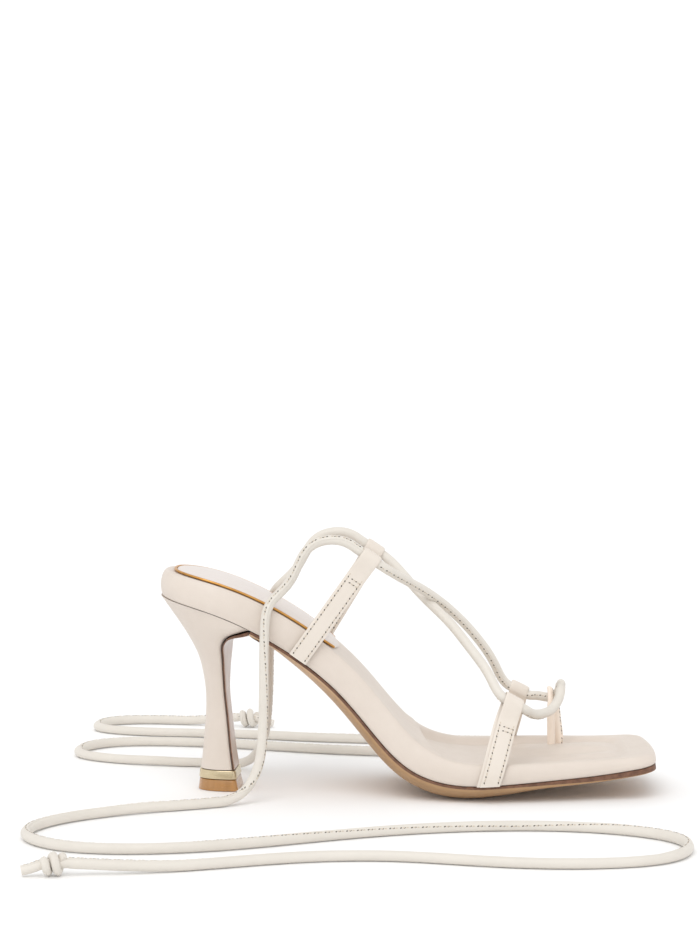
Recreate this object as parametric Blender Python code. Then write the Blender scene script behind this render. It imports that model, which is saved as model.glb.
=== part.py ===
"""A right-foot dress sandal on a flared heel, with looped side straps, a toe post and a long lace.

+X points to the toe, +Y to the inner (medial) side of the foot and +Z up. The sandal stands on z = 0.
Sizes in the tables are millimetres; MM turns them into metres where a mesh is made.
"""

import math
from collections import namedtuple

import bmesh
import bpy
import numpy as np
from mathutils import Vector

MM = 0.001

# Clearance that neighbouring pieces keep
GAP = 0.3

# The last: one row for each cross section from the back of the heel to the toe.
# x and z follow the feather line, where footbed and outsole meet. thick is the footbed's
# height over that line, lateral and medial its half widths, hollow the depth of the foot's
# bed below its rim, belly how far the outsole bulges below its edge, and edge how high that edge is.
LAST_COLUMNS = ("x", "z", "thick", "lateral", "medial", "hollow", "belly", "edge")
LAST_ROWS = (
    (-112.2, 89.2, 11.4, 27.0, 27.0, 0.0, 0.0, 1.1),
    (-90.4, 83.5, 12.3, 27.2, 27.0, 0.0, 0.0, 1.1),
    (-71.0, 75.2, 12.6, 26.8, 26.2, 0.0, 0.4, 1.2),
    (-52.0, 64.0, 12.4, 26.3, 24.9, 0.0, 2.4, 1.9),
    (-31.0, 46.6, 12.0, 26.9, 24.6, 0.0, 3.7, 2.4),
    (-14.0, 26.9, 11.7, 29.6, 27.3, 1.2, 3.8, 2.6),
    (0.0, 14.0, 11.7, 33.3, 31.8, 2.4, 4.7, 2.7),
    (17.0, 8.2, 10.4, 37.3, 37.0, 2.6, 5.6, 2.7),
    (36.0, 7.8, 9.1, 39.0, 39.8, 2.4, 4.6, 2.7),
    (60.0, 9.6, 8.0, 37.4, 38.6, 2.2, 1.9, 2.7),
    (86.0, 11.7, 6.6, 33.0, 34.0, 1.4, 0.5, 2.7),
    (110.6, 15.3, 4.6, 29.8, 30.4, 0.0, 0.0, 2.6),
)

# Ends of the footbed's outline: length of the round heel, its squareness, and the toe's corners
HEEL_ROUND = 27.0
HEEL_SQUARENESS = 2.3
TOE_CORNER = 9.5
TOE_BOW = 1.2
# How far the footbed's rim leans back at the heel, so that its back stands upright
HEEL_LEAN = 2.6
BACK_SPLIT = math.radians(38)

# Grid of the sole pieces: points along each side and points across each end
SOLE_STATIONS = 42
SOCK_STATIONS = 24
ACROSS = 7

# Footbed edge, from the feather line up and over the rim: inset and share of the thickness
FOOTBED_EDGE = ((0.9, 0.0), (0.2, 0.16), (0.0, 0.40), (0.5, 0.68), (1.4, 0.88), (2.8, 1.0))
# Slope from the rim into the bed: inset and share of the hollow's depth
FOOTBED_SLOPE = ((5.2, 0.3), (8.2, 0.75))
# Low ridge between the beds of the big toe and the other toes
RIDGE_HEIGHT = 1.9
RIDGE_Y = 8.0
RIDGE_WIDTH = 6.0
RIDGE_X = 72.0
RIDGE_LENGTH = 17.0

# Outsole edge, from its upper face down: inset, share of the edge's height, share of the belly
OUTSOLE_EDGE = ((0.9, 0.0, 0.0), (0.6, 0.5, 0.0), (1.0, 0.95, 0.0), (3.0, 1.0, 0.24), (7.0, 1.0, 0.62))
OUTSOLE_CORNER = 1.2

# Heel sock: inset from the footbed's edge, more of it at the back, thickness and where it ends under the arch
SOCK_INSET = 4.6
SOCK_BACK = 2.2
SOCK_THICK = 1.3
SOCK_FRONT_X = -37.5
SOCK_FRONT_ROUND = 16.0
# Height that the sock's edge loses as it turns over, and how far in it turns
SOCK_EDGE_DROP = 0.5
SOCK_EDGE_TURN = 0.6
PIPING_WIDTH = 0.9
PIPING_HEIGHT = 1.5

# Heel: one row for each section, from the seat down to the band. The section is a D with its
# flat front on the breast; back and front give its depth in the shoe's mid plane.
HeelRow = namedtuple("HeelRow", "back_x back_z front_x front_z half_width centre_y")
HEEL_TABLE = (
    (-110.3, 86.0, -74.7, 73.2, 25.0, 0.0),
    (-106.4, 80.4, -79.9, 71.0, 22.4, 0.0),
    (-101.9, 73.8, -82.4, 66.6, 19.1, -0.1),
    (-98.1, 67.3, -82.7, 61.8, 15.8, -0.2),
    (-95.1, 60.6, -82.9, 56.6, 12.7, -0.3),
    (-93.2, 53.0, -83.0, 51.0, 9.9, -0.4),
    (-92.1, 45.0, -82.9, 44.5, 7.9, -0.5),
    (-92.0, 36.0, -82.1, 36.0, 7.3, -0.6),
    (-92.6, 27.0, -81.2, 27.0, 7.7, -0.8),
    (-93.4, 18.0, -80.2, 18.0, 8.5, -0.9),
    (-94.3, 9.7, -79.0, 9.7, 9.4, -1.0),
)
HEEL_ROWS = [HeelRow(*row) for row in HEEL_TABLE]
HEEL_SEAT_FRONT_X = -68.9
HEEL_SEAT_BACK = 0.3
HEEL_SEAT_INSET = 0.9
HEEL_D = 2.3
HEEL_POINTS = 20
BREAST_SKEW = math.tan(math.radians(4.9))
# Points across the flat front, from the medial corner to the lateral one
BREAST_SHARES = (0.5, 0.0, -0.5)
COVER_THICK = 0.8
COVER_INSET = 0.6
# Where the cover begins, as a share of the lip from the seat's front edge to the first section
COVER_START = 0.24

# Band and top lift below the heel: two rows each, top then bottom
SlabRow = namedtuple("SlabRow", "z back_x front_x half_width")
BAND_ROWS = (SlabRow(9.4, -94.8, -77.5, 9.9), SlabRow(5.4, -95.2, -77.0, 10.2))
LIFT_ROWS = (SlabRow(5.1, -94.9, -77.3, 10.0), SlabRow(0.0, -95.6, -76.2, 10.5))
LIFT_CENTRE_Y = -1.0

# Straps: width, thickness and the eye that the lace runs through
STRAP_WIDTH = 8.8
STRAP_THICK = 2.0
EYE_RADIUS = 2.75
EYE_WALL = 1.1
EYE_SIDES = 12
STRAP_SEAT_GAP = 0.45
# Height of a strap's foot over the feather line
STRAP_FOOT_LIFT = 0.2
# How a strap climbs: share of the way from the feather line to the eye, share of the lean inwards
STRAP_CLIMB = ((0.0, 0.0), (0.12, 0.0), (0.2, 0.04), (0.3, 0.14), (0.45, 0.35), (0.65, 0.62), (0.82, 0.84))

# The lace and its eyes. slope is the angle of an eye's axis below the horizontal, towards the toe.
LACE_RADIUS = 2.15
TUBE_SIDES = 8
EYES = {
    "strap_front_lateral": {"base_x": 35.0, "eye": (45.9, -25.5, 43.0), "slope": 29.0},
    "strap_front_medial": {"base_x": 45.5, "eye": (51.7, 23.5, 40.8), "slope": 26.0},
    "strap_rear_lateral": {"base_x": -50.0, "eye": (-17.7, -24.0, 107.5), "slope": 34.0},
    "strap_rear_medial": {"base_x": -44.5, "eye": (-15.5, 24.0, 106.6), "slope": 34.0},
}
# How far the lace reaches past the rear eyes before the free ties begin
LACE_PAST_EYE = 7.0
# Half the straight run of the lace through an eye
EYE_RUN = 5.0
TIE_GAP = 0.7

# Route of the lace from each rear eye over the instep to the toe. Each passes through a front eye.
INSTEP_FROM_LATERAL = ((-3.0, -14.5, 97.2), (10.0, -0.6, 87.5), (22.5, 9.0, 77.0), (33.0, 15.2, 65.0))
INTO_FRONT_MEDIAL = ((40.3, 19.8, 53.4),)
TOE_FROM_MEDIAL = ((60.0, 22.2, 38.6), (63.2, 20.6, 38.3), (66.4, 18.7, 38.4), (69.1, 16.4, 41.0),
                   (70.2, 12.4, 45.4))
INSTEP_FROM_MEDIAL = ((-1.5, 14.0, 95.2), (10.0, 0.6, 84.8), (18.0, -6.6, 77.0), (28.0, -14.0, 65.0))
INTO_FRONT_LATERAL = ((36.0, -20.8, 53.8),)
TOE_FROM_LATERAL = ((54.0, -19.5, 37.4), (57.6, -12.0, 35.5), (61.5, -4.8, 34.9), (65.0, 1.0, 35.5),
                    (67.8, 5.2, 38.0), (69.6, 8.8, 42.0), (70.2, 12.6, 45.9))
LACE_STEP = 5.0

# Toe post: a rolled leather loop over the lace, from one foot on the bed to the other
POST_RADIUS = 1.8
POST_ARCH_RADIUS = 1.1
# Heights between which the leather is thinned to pass over the lace
POST_THINNED = (33.0, 38.0)
POST_NEAR_FOOT = (65.7, 9.6)
POST_FAR_FOOT = (69.6, 14.6)
POST_ROUTE = ((65.6, 9.7, 26.0), (65.5, 10.2, 32.0), (65.3, 12.3, 38.0), (65.4, 15.6, 41.6),
              (65.5, 20.4, 42.3), (67.0, 23.8, 39.4), (68.6, 23.6, 33.2), (69.2, 18.8, 26.5),
              (69.6, 15.2, 22.0))
POST_STEP = 3.6
# Clearance under the post's feet, on the slopes of the ridge
POST_SEAT_GAP = 0.8

# Free ties: route of each from its rear eye over the side, down to the floor and along it
TIE_DIAMETER = 4.3
TIE_STEP = 11.0
# Straight run of a tie before it bends over
TIE_STRAIGHT = 3.0
FLOOR_Z = 2.25
TIE_LATERAL_DROP = ((-29.5, -24.0, 114.8), (-44.0, -23.8, 112.6), (-53.5, -23.5, 96.6), (-58.3, -24.0, 91.3),
                    (-61.6, -26.1, 87.8), (-63.5, -28.6, 83.8), (-64.3, -30.0, 77.0), (-64.6, -31.2, 62.0),
                    (-64.8, -32.2, 45.0), (-65.4, -33.6, 28.0), (-67.8, -35.6, 14.5), (-73.0, -39.2, 6.0))
TIE_LATERAL_FLOOR = ((-81.6, -44.6), (-106.0, -55.0), (-133.0, -68.0), (-154.0, -87.0), (-161.0, -110.0),
                     (-147.0, -132.0), (-110.0, -140.0), (-72.0, -131.0), (-34.0, -114.0), (6.0, -100.0),
                     (47.0, -95.0), (86.0, -103.0), (110.0, -126.0), (104.0, -152.0), (72.0, -166.0),
                     (30.0, -163.0), (-11.0, -153.0), (-52.0, -157.0), (-94.0, -171.0), (-136.0, -178.0))
TIE_MEDIAL_DROP = ((-27.3, 24.0, 113.9), (-41.8, 23.8, 111.7), (-52.0, 23.4, 96.9), (-57.6, 23.7, 91.3),
                   (-61.0, 25.4, 87.5), (-62.9, 27.7, 83.5), (-63.7, 29.1, 77.0), (-64.2, 30.6, 62.0),
                   (-64.6, 32.0, 45.0), (-65.4, 33.6, 28.0), (-67.8, 35.6, 14.5), (-73.0, 39.2, 6.0))
TIE_MEDIAL_FLOOR = ((-81.6, 44.6), (-108.0, 51.0), (-138.0, 59.0), (-158.0, 77.0), (-150.0, 98.0),
                    (-118.0, 105.0), (-80.0, 97.0), (-40.0, 84.0), (0.0, 76.0), (36.0, 73.5), (62.0, 76.5),
                    (74.0, 82.5), (78.0, 91.5), (74.0, 100.5), (62.0, 106.0), (30.0, 109.0), (-8.0, 111.0),
                    (-45.0, 117.0), (-84.0, 127.0), (-120.0, 132.0), (-143.0, 138.0), (-155.5, 149.0),
                    (-152.0, 162.5), (-136.0, 169.0), (-112.0, 167.0), (-84.0, 161.0))

# Stopper knot at the end of a tie: share of its length and radius, then the short tail
KNOT_LENGTH = 18.0
KNOT_PROFILE = ((0.0, 2.4), (0.06, 3.6), (0.18, 4.6), (0.32, 4.8), (0.46, 4.5), (0.56, 3.5), (0.62, 2.4),
                (1.0, 2.2))
KNOT_CENTRE_Z = 4.9

# Finishes: base colour (linear), roughness, metallic
FINISHES = {
    "outsole": ((0.27, 0.15, 0.085), 0.5, 0.0),
    "footbed": ((0.80, 0.71, 0.61), 0.5, 0.0),
    "heel_sock": ((0.84, 0.80, 0.75), 0.45, 0.0),
    "sock_piping": ((0.72, 0.50, 0.24), 0.3, 1.0),
    "heel": ((0.80, 0.71, 0.61), 0.45, 0.0),
    "heel_breast_cover": ((0.27, 0.15, 0.085), 0.5, 0.0),
    "heel_band": ((0.83, 0.71, 0.45), 0.2, 1.0),
    "top_lift": ((0.52, 0.27, 0.09), 0.3, 0.0),
    "strap_front_lateral": ((0.86, 0.77, 0.69), 0.5, 0.0),
    "strap_front_medial": ((0.86, 0.77, 0.69), 0.5, 0.0),
    "strap_rear_lateral": ((0.86, 0.77, 0.69), 0.5, 0.0),
    "strap_rear_medial": ((0.86, 0.77, 0.69), 0.5, 0.0),
    "toe_post": ((0.82, 0.75, 0.65), 0.5, 0.0),
    "lace": ((0.83, 0.78, 0.70), 0.5, 0.0),
    "lace_half": ((0.83, 0.78, 0.70), 0.5, 0.0),
    "tie_lateral": ((0.83, 0.78, 0.70), 0.5, 0.0),
    "tie_medial": ((0.83, 0.78, 0.70), 0.5, 0.0),
    "tie_knot_lateral": ((0.83, 0.78, 0.70), 0.5, 0.0),
    "tie_knot_medial": ((0.83, 0.78, 0.70), 0.5, 0.0),
}
SMOOTH_ANGLE = math.radians(50)


def clear_scene():
    """Start from an empty scene."""
    for obj in list(bpy.data.objects):
        bpy.data.objects.remove(obj, do_unlink=True)


def finish_of(name):
    """The piece's own Principled material."""
    colour, roughness, metallic = FINISHES[name]
    material = bpy.data.materials.new(name)
    material.use_nodes = True
    shader = material.node_tree.nodes["Principled BSDF"]
    shader.inputs["Base Color"].default_value = (*colour, 1.0)
    shader.inputs["Roughness"].default_value = roughness
    shader.inputs["Metallic"].default_value = metallic
    return material


def column(columns, rows, name):
    """One named column of a table."""
    return np.array([row[columns.index(name)] for row in rows], float)


def natural_spline(knots, values):
    """A function for the smooth curve through values at knots; values may be points."""
    knots = np.asarray(knots, float)
    values = np.asarray(values, float)
    count = len(knots)
    step = np.diff(knots)
    system = np.eye(count)
    right = np.zeros(values.shape)
    slope = (np.diff(values, axis=0).T / step).T
    for i in range(1, count - 1):
        system[i, i - 1:i + 2] = step[i - 1], 2 * (step[i - 1] + step[i]), step[i]
        right[i] = 6 * (slope[i] - slope[i - 1])
    bend_at = np.linalg.solve(system, right)

    def at(where):
        i = int(np.clip(np.searchsorted(knots, where) - 1, 0, count - 2))
        width = step[i]
        a = (knots[i + 1] - where) / width
        b = 1 - a
        bow = (a**3 - a) * bend_at[i] + (b**3 - b) * bend_at[i + 1]
        return a * values[i] + b * values[i + 1] + bow * width**2 / 6

    return at


def smooth_route(points, spacing):
    """Points about spacing apart on the smooth curve through points."""
    points = np.asarray(points, float)
    knots = np.concatenate([[0], np.cumsum(np.linalg.norm(np.diff(points, axis=0), axis=1))])
    curve = natural_spline(knots, points)
    fine = np.array([curve(t) for t in np.linspace(0, knots[-1], 1200)])
    along = np.concatenate([[0], np.cumsum(np.linalg.norm(np.diff(fine, axis=0), axis=1))])
    wanted = np.linspace(0, along[-1], max(2, round(along[-1] / spacing) + 1))
    return np.stack([np.interp(wanted, along, fine[:, k]) for k in range(3)], axis=1)


class Last:
    """The shape that the shoe is built on, in sole coordinates.

    s runs along the feather line from heel to toe, y across, and h square to the line, upwards.
    """

    def __init__(self):
        x = column(LAST_COLUMNS, LAST_ROWS, "x")
        z = column(LAST_COLUMNS, LAST_ROWS, "z")
        self.knots = np.concatenate([[0], np.cumsum(np.hypot(np.diff(x), np.diff(z)))])
        self.length = float(self.knots[-1])
        self.line = natural_spline(self.knots, np.stack([x, z], axis=1))
        self.curves = {
            name: natural_spline(self.knots, column(LAST_COLUMNS, LAST_ROWS, name))
            for name in LAST_COLUMNS[2:]
        }

    def value(self, name, s):
        """A column of the last at s."""
        return float(self.curves[name](min(max(s, 0.0), self.length)))

    def bend(self, s, y, h):
        """Sole coordinates to the shoe's own x, y and z."""
        step = 0.5
        point = self.line(s)
        ahead = self.line(s + step) - self.line(s - step)
        tangent = ahead / np.linalg.norm(ahead)
        return np.array([point[0] - h * tangent[1], y, point[1] + h * tangent[0]])

    def at_x(self, x):
        """The s whose feather line point has this x."""
        low, high = 0.0, self.length
        for _ in range(40):
            middle = (low + high) / 2
            if self.line(middle)[0] < x:
                low = middle
            else:
                high = middle
        return low

    def lean(self, s, h):
        """Shift towards the heel that keeps the back of the footbed upright at height h."""
        near_back = max(1 - s / HEEL_ROUND, 0.0)
        return HEEL_LEAN * near_back * min(h / self.value("thick", s), 1.0)

    def half_width(self, side, s):
        """Half width on one side: -1 lateral, 1 medial."""
        return self.value("lateral" if side < 0 else "medial", s)

    def seat_width(self, side, s):
        """Half width with the round of the heel."""
        wide = self.half_width(side, s)
        if s >= HEEL_ROUND:
            return wide
        share = 1 - max(s, 0.0) / HEEL_ROUND
        return wide * (1 - share**HEEL_SQUARENESS) ** (1 / HEEL_SQUARENESS)

    def top(self, s, y, share):
        """Height of the footbed's upper face, share being how far into the hollow it lies."""
        hollow = max(self.value("hollow", s), 0.0)
        across = math.exp(-(((y - RIDGE_Y) / RIDGE_WIDTH) ** 2))
        along = math.exp(-(((self.line(s)[0] - RIDGE_X) / RIDGE_LENGTH) ** 4))
        return self.value("thick", s) - hollow * share + RIDGE_HEIGHT * across * along * share


class Outline:
    """A flat pattern in s and y: two sides, a back edge and a front edge, as one ring of points."""

    def __init__(self, lateral, front, medial, back):
        self.sides = len(lateral)
        self.across = len(front)
        self.ring = np.array([*lateral, *front, *reversed(medial), *reversed(back)], float)

    def inset(self, distance):
        """The ring moved inwards."""
        ahead = np.roll(self.ring, -1, axis=0) - np.roll(self.ring, 1, axis=0)
        ahead /= np.linalg.norm(ahead, axis=1)[:, None]
        # The ring runs from the heel along the lateral side, so inwards is to its left
        return self.ring + distance * np.stack([-ahead[:, 1], ahead[:, 0]], axis=1)

    def lateral_index(self, i):
        return i

    def front_index(self, j):
        return self.sides + j

    def medial_index(self, i):
        return 2 * self.sides + self.across - 1 - i

    def back_index(self, j):
        return len(self.ring) - 1 - j


def corner(width, s_end, direction, reach, inwards, power, angles):
    """Points of a rounded corner, from the end edge (angle 0) to the side (angle 90 degrees)."""
    points = []
    for angle in angles:
        along = math.cos(angle) ** (2 / power) if angle < math.pi / 2 else 0.0
        s = s_end + direction * reach * (1 - along)
        wide = width(s)
        round_by = wide if inwards is None else inwards
        points.append((s, wide - round_by + round_by * math.sin(angle) ** (2 / power)))
    return points


def pattern(last, back, front, stations, back_skew=0.0):
    """Outline between a back end and a front end, each given as (s, reach, inwards, power).

    An end with inwards None is round from side to side; otherwise its corners are rounded.
    """
    corner_points = 5
    flanks = {}
    for side in (-1, 1):
        def width(s, side=side):
            return last.half_width(side, s)

        back_s = back[0] + back_skew * side * width(back[0])
        low_angle = BACK_SPLIT if back[2] is None else 0.0
        angles = np.linspace(low_angle, math.pi / 2, corner_points)
        rear = corner(width, back_s, 1, *back[1:], angles)
        nose = corner(width, front[0], -1, *front[1:], np.linspace(math.pi / 2, 0.0, corner_points))
        inner = stations - 2 * corner_points
        run = np.linspace(rear[-1][0], nose[0][0], inner + 2)[1:-1]
        flank = rear + [(s, width(s)) for s in run] + nose
        flanks[side] = [(s, side * y) for s, y in flank]
    share = np.linspace(-1, 1, ACROSS + 2)[1:-1]
    if back[2] is None:
        ends = []
        for f in share:
            side = -1 if f < 0 else 1
            one = corner(lambda s: last.half_width(side, s), back[0], 1, *back[1:], [abs(f) * BACK_SPLIT])[0]
            ends.append((one[0], side * one[1]))
    else:
        ends = between(flanks[-1][0], flanks[1][0], share)
    edge = between(flanks[-1][-1], flanks[1][-1], share)
    bow = [(s + TOE_BOW * (1 - f * f), y) for f, (s, y) in zip(share, edge)]
    return Outline(flanks[-1], bow, flanks[1], ends)


def between(first, second, shares):
    """Points on the straight line between two, for shares from -1 to 1."""
    a = np.array(first)
    b = np.array(second)
    return [tuple(a + (b - a) * (f + 1) / 2) for f in shares]


class Solid:
    """Points and faces of one piece, in millimetres."""

    def __init__(self):
        self.points = []
        self.faces = []

    def add(self, points):
        first = len(self.points)
        self.points.extend(tuple(float(v) for v in p) for p in points)
        return list(range(first, len(self.points)))

    def band(self, lower, upper, closed=True):
        """Faces between two rings of equal length."""
        count = len(lower)
        for i in range(count if closed else count - 1):
            j = (i + 1) % count
            self.faces.append((lower[i], lower[j], upper[j], upper[i]))

    def rows(self, rows):
        """Faces between rows of equal length."""
        for lower, upper in zip(rows, rows[1:]):
            self.band(lower, upper, closed=False)

    def fill(self, outline, ring, flat, place):
        """A grid inside a ring of an outline. place turns s, y and the share across into a point."""
        top = outline.sides - 1
        rows = []
        for i in range(outline.sides):
            left = outline.lateral_index(i)
            right = outline.medial_index(i)
            if i == 0:
                middle = [ring[outline.back_index(j)] for j in range(outline.across)]
            elif i == top:
                middle = [ring[outline.front_index(j)] for j in range(outline.across)]
            else:
                shares = np.linspace(-1, 1, outline.across + 2)[1:-1]
                spots = between(flat[left], flat[right], shares)
                middle = self.add([place(s, y, f) for f, (s, y) in zip(shares, spots)])
            rows.append([ring[left], *middle, ring[right]])
        self.rows(rows)

    def close(self, outline, ring):
        """Faces straight across a ring of an outline, from side to side."""
        top = outline.sides - 1
        back = [ring[outline.back_index(j)] for j in range(outline.across)]
        front = [ring[outline.front_index(j)] for j in range(outline.across)]
        for i in range(top):
            left = [ring[outline.lateral_index(k)] for k in (i, i + 1)]
            right = [ring[outline.medial_index(k)] for k in (i + 1, i)]
            ahead = front if i + 1 == top else []
            behind = back[::-1] if i == 0 else []
            self.faces.append((*left, *ahead, *right, *behind))

    def make(self, name):
        """The finished object, faces pointing out and shaded smooth between its sharp edges."""
        mesh = bpy.data.meshes.new(name)
        mesh.from_pydata([Vector(p) * MM for p in self.points], [], self.faces)
        work = bmesh.new()
        work.from_mesh(mesh)
        bmesh.ops.triangulate(work, faces=[f for f in work.faces if len(f.verts) > 4])
        bmesh.ops.recalc_face_normals(work, faces=work.faces)
        work.to_mesh(mesh)
        work.free()
        mesh.shade_smooth()
        mesh.set_sharp_from_angle(angle=SMOOTH_ANGLE)
        obj = bpy.data.objects.new(name, mesh)
        obj.data.materials.append(finish_of(name))
        bpy.context.collection.objects.link(obj)
        return obj


def footbed_pattern(last):
    return pattern(
        last,
        (0.0, HEEL_ROUND, None, HEEL_SQUARENESS),
        (last.length, TOE_CORNER, TOE_CORNER, 2.0),
        SOLE_STATIONS,
    )


def bed_point(last, s, y, h):
    """A point of the footbed or of what lies on it."""
    return last.bend(s - last.lean(s, h), y, h)


def make_footbed(last):
    """Padded board: flat below, round sides, a rim and the hollow of the foot's bed."""
    outline = footbed_pattern(last)
    solid = Solid()
    rings = []
    flats = []
    for inset, share in FOOTBED_EDGE:
        flat = outline.inset(inset)
        flats.append(flat)
        rings.append(solid.add([bed_point(last, s, y, share * last.value("thick", s)) for s, y in flat]))
    for inset, share in FOOTBED_SLOPE:
        flat = outline.inset(inset)
        flats.append(flat)
        rings.append(solid.add([bed_point(last, s, y, last.top(s, y, share)) for s, y in flat]))
    for lower, upper in zip(rings, rings[1:]):
        solid.band(lower, upper)
    deep = FOOTBED_SLOPE[-1][1]
    solid.close(outline, rings[0])
    solid.fill(
        outline,
        rings[-1],
        flats[-1],
        lambda s, y, f: bed_point(last, s, y, last.top(s, y, deep + (1 - deep) * (1 - f * f))),
    )
    return solid.make("footbed")


def outsole_drop(last, s, edge_share, belly_share):
    """Depth of the outsole's surface below the feather line."""
    return GAP + last.value("edge", s) * edge_share + max(last.value("belly", s), 0.0) * belly_share


def on_floor(point):
    """Keep a point of the tread from reaching below the floor."""
    return (point[0], point[1], max(point[2], 0.0))


def make_outsole(last):
    """Sole from the breast of the heel to the toe, flat where it meets the floor."""
    seat_s = last.at_x(HEEL_SEAT_FRONT_X) + GAP
    outline = pattern(
        last,
        (seat_s, OUTSOLE_CORNER, OUTSOLE_CORNER, 2.0),
        (last.length, TOE_CORNER, TOE_CORNER, 2.0),
        SOLE_STATIONS,
        back_skew=BREAST_SKEW,
    )
    solid = Solid()
    rings = []
    flats = []
    for inset, edge_share, belly_share in OUTSOLE_EDGE:
        flat = outline.inset(inset)
        flats.append(flat)
        rings.append(
            solid.add(
                on_floor(last.bend(s, y, -outsole_drop(last, s, edge_share, belly_share))) for s, y in flat
            )
        )
    for lower, upper in zip(rings, rings[1:]):
        solid.band(lower, upper)
    deep = OUTSOLE_EDGE[-1][2]
    solid.close(outline, rings[0])
    solid.fill(
        outline,
        rings[-1],
        flats[-1],
        lambda s, y, f: on_floor(
            last.bend(s, y, -outsole_drop(last, s, 1.0, deep + (1 - deep) * (1 - f * f)))
        ),
    )
    return solid.make("outsole")


def sock_pattern(last):
    """The heel sock's outline, before its inset: the heel's own round and a rounded front."""
    return pattern(
        last,
        (SOCK_BACK, HEEL_ROUND, None, HEEL_SQUARENESS),
        (last.at_x(SOCK_FRONT_X), SOCK_FRONT_ROUND, SOCK_FRONT_ROUND, 2.0),
        SOCK_STATIONS,
    )


def make_heel_sock(last):
    """Thin cushioned pad on the heel seat and waist."""
    outline = sock_pattern(last)
    low = GAP
    high = GAP + SOCK_THICK
    edge = ((0.0, low), (0.0, high - SOCK_EDGE_DROP), (SOCK_EDGE_TURN, high))
    solid = Solid()
    rings = []
    for inset, height in edge:
        flat = outline.inset(SOCK_INSET + inset)
        rings.append(solid.add([bed_point(last, s, y, last.value("thick", s) + height) for s, y in flat]))
    for lower, upper in zip(rings, rings[1:]):
        solid.band(lower, upper)
    solid.close(outline, rings[0])
    solid.close(outline, rings[-1])
    return solid.make("heel_sock")


def make_sock_piping(last):
    """Gilt edge around the heel sock."""
    outline = sock_pattern(last)
    inner = SOCK_INSET - GAP
    outer = inner - PIPING_WIDTH
    loop = ((inner, GAP), (outer, GAP), (outer, PIPING_HEIGHT), (inner, PIPING_HEIGHT))
    solid = Solid()
    rings = [
        solid.add([bed_point(last, s, y, last.value("thick", s) + height) for s, y in outline.inset(inset)])
        for inset, height in loop
    ]
    for lower, upper in zip(rings, rings[1:] + rings[:1]):
        solid.band(lower, upper)
    return solid.make("sock_piping")


def d_angles():
    """Angles around a D, from its lateral front corner over the back to the medial one."""
    return np.linspace(0.0, math.pi, HEEL_POINTS + 1)


def d_section(back, front, half_width, centre_y):
    """A D in the plane through a back and a front point (x, z), with a skewed flat front."""
    points = []
    for angle in d_angles():
        depth = abs(math.sin(angle)) ** (2 / HEEL_D)
        across = abs(math.cos(angle)) ** (2 / HEEL_D)
        y = -half_width * math.copysign(across, math.cos(angle))
        x = front[0] + (back[0] - front[0]) * depth + BREAST_SKEW * y * (1 - depth)
        points.append((x, y + centre_y, front[1] + (back[1] - front[1]) * depth))
    for share in BREAST_SHARES:
        y = half_width * share
        points.append((front[0] + BREAST_SKEW * y, y + centre_y, front[1]))
    return points


def close_d(solid, ring):
    """Faces across a D, joining its two flanks pair by pair."""
    half = HEEL_POINTS // 2
    solid.faces.append((ring[0], ring[1], *ring[HEEL_POINTS - 1:]))
    for j in range(1, half - 1):
        k = HEEL_POINTS - j
        solid.faces.append((ring[j], ring[j + 1], ring[k - 1], ring[k]))
    solid.faces.append((ring[half - 1], ring[half], ring[half + 1]))


def seat_section(last):
    """Upper face of the heel, cut from the footbed's own outline just below the feather line."""
    front_s = last.at_x(HEEL_SEAT_FRONT_X)
    middle = HEEL_POINTS // 2
    points = []
    for j, angle in enumerate(d_angles()):
        side = -1 if j < middle else 1
        depth = abs(math.sin(angle)) ** (2 / HEEL_D)
        wide = last.half_width(side, front_s) - HEEL_SEAT_INSET
        s = front_s + (HEEL_SEAT_BACK - front_s) * depth + BREAST_SKEW * side * wide * (1 - depth)
        y = min(max(last.seat_width(side, s) - HEEL_SEAT_INSET, 0.0), wide)
        points.append(last.bend(s, 0.0 if j == middle else side * y, -GAP))
    for share in BREAST_SHARES:
        y = wide * share
        points.append(last.bend(front_s + BREAST_SKEW * y, y, -GAP))
    return points


def make_heel(last):
    """Flared heel: wide seat, slim waist, and a foot that spreads again at the band."""
    solid = Solid()
    rings = [solid.add(seat_section(last))]
    for row in HEEL_ROWS:
        back = (row.back_x, row.back_z)
        front = (row.front_x, row.front_z)
        rings.append(solid.add(d_section(back, front, row.half_width, row.centre_y)))
    for lower, upper in zip(rings, rings[1:]):
        solid.band(lower, upper)
    close_d(solid, rings[0])
    close_d(solid, rings[-1])
    return solid.make("heel")


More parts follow.
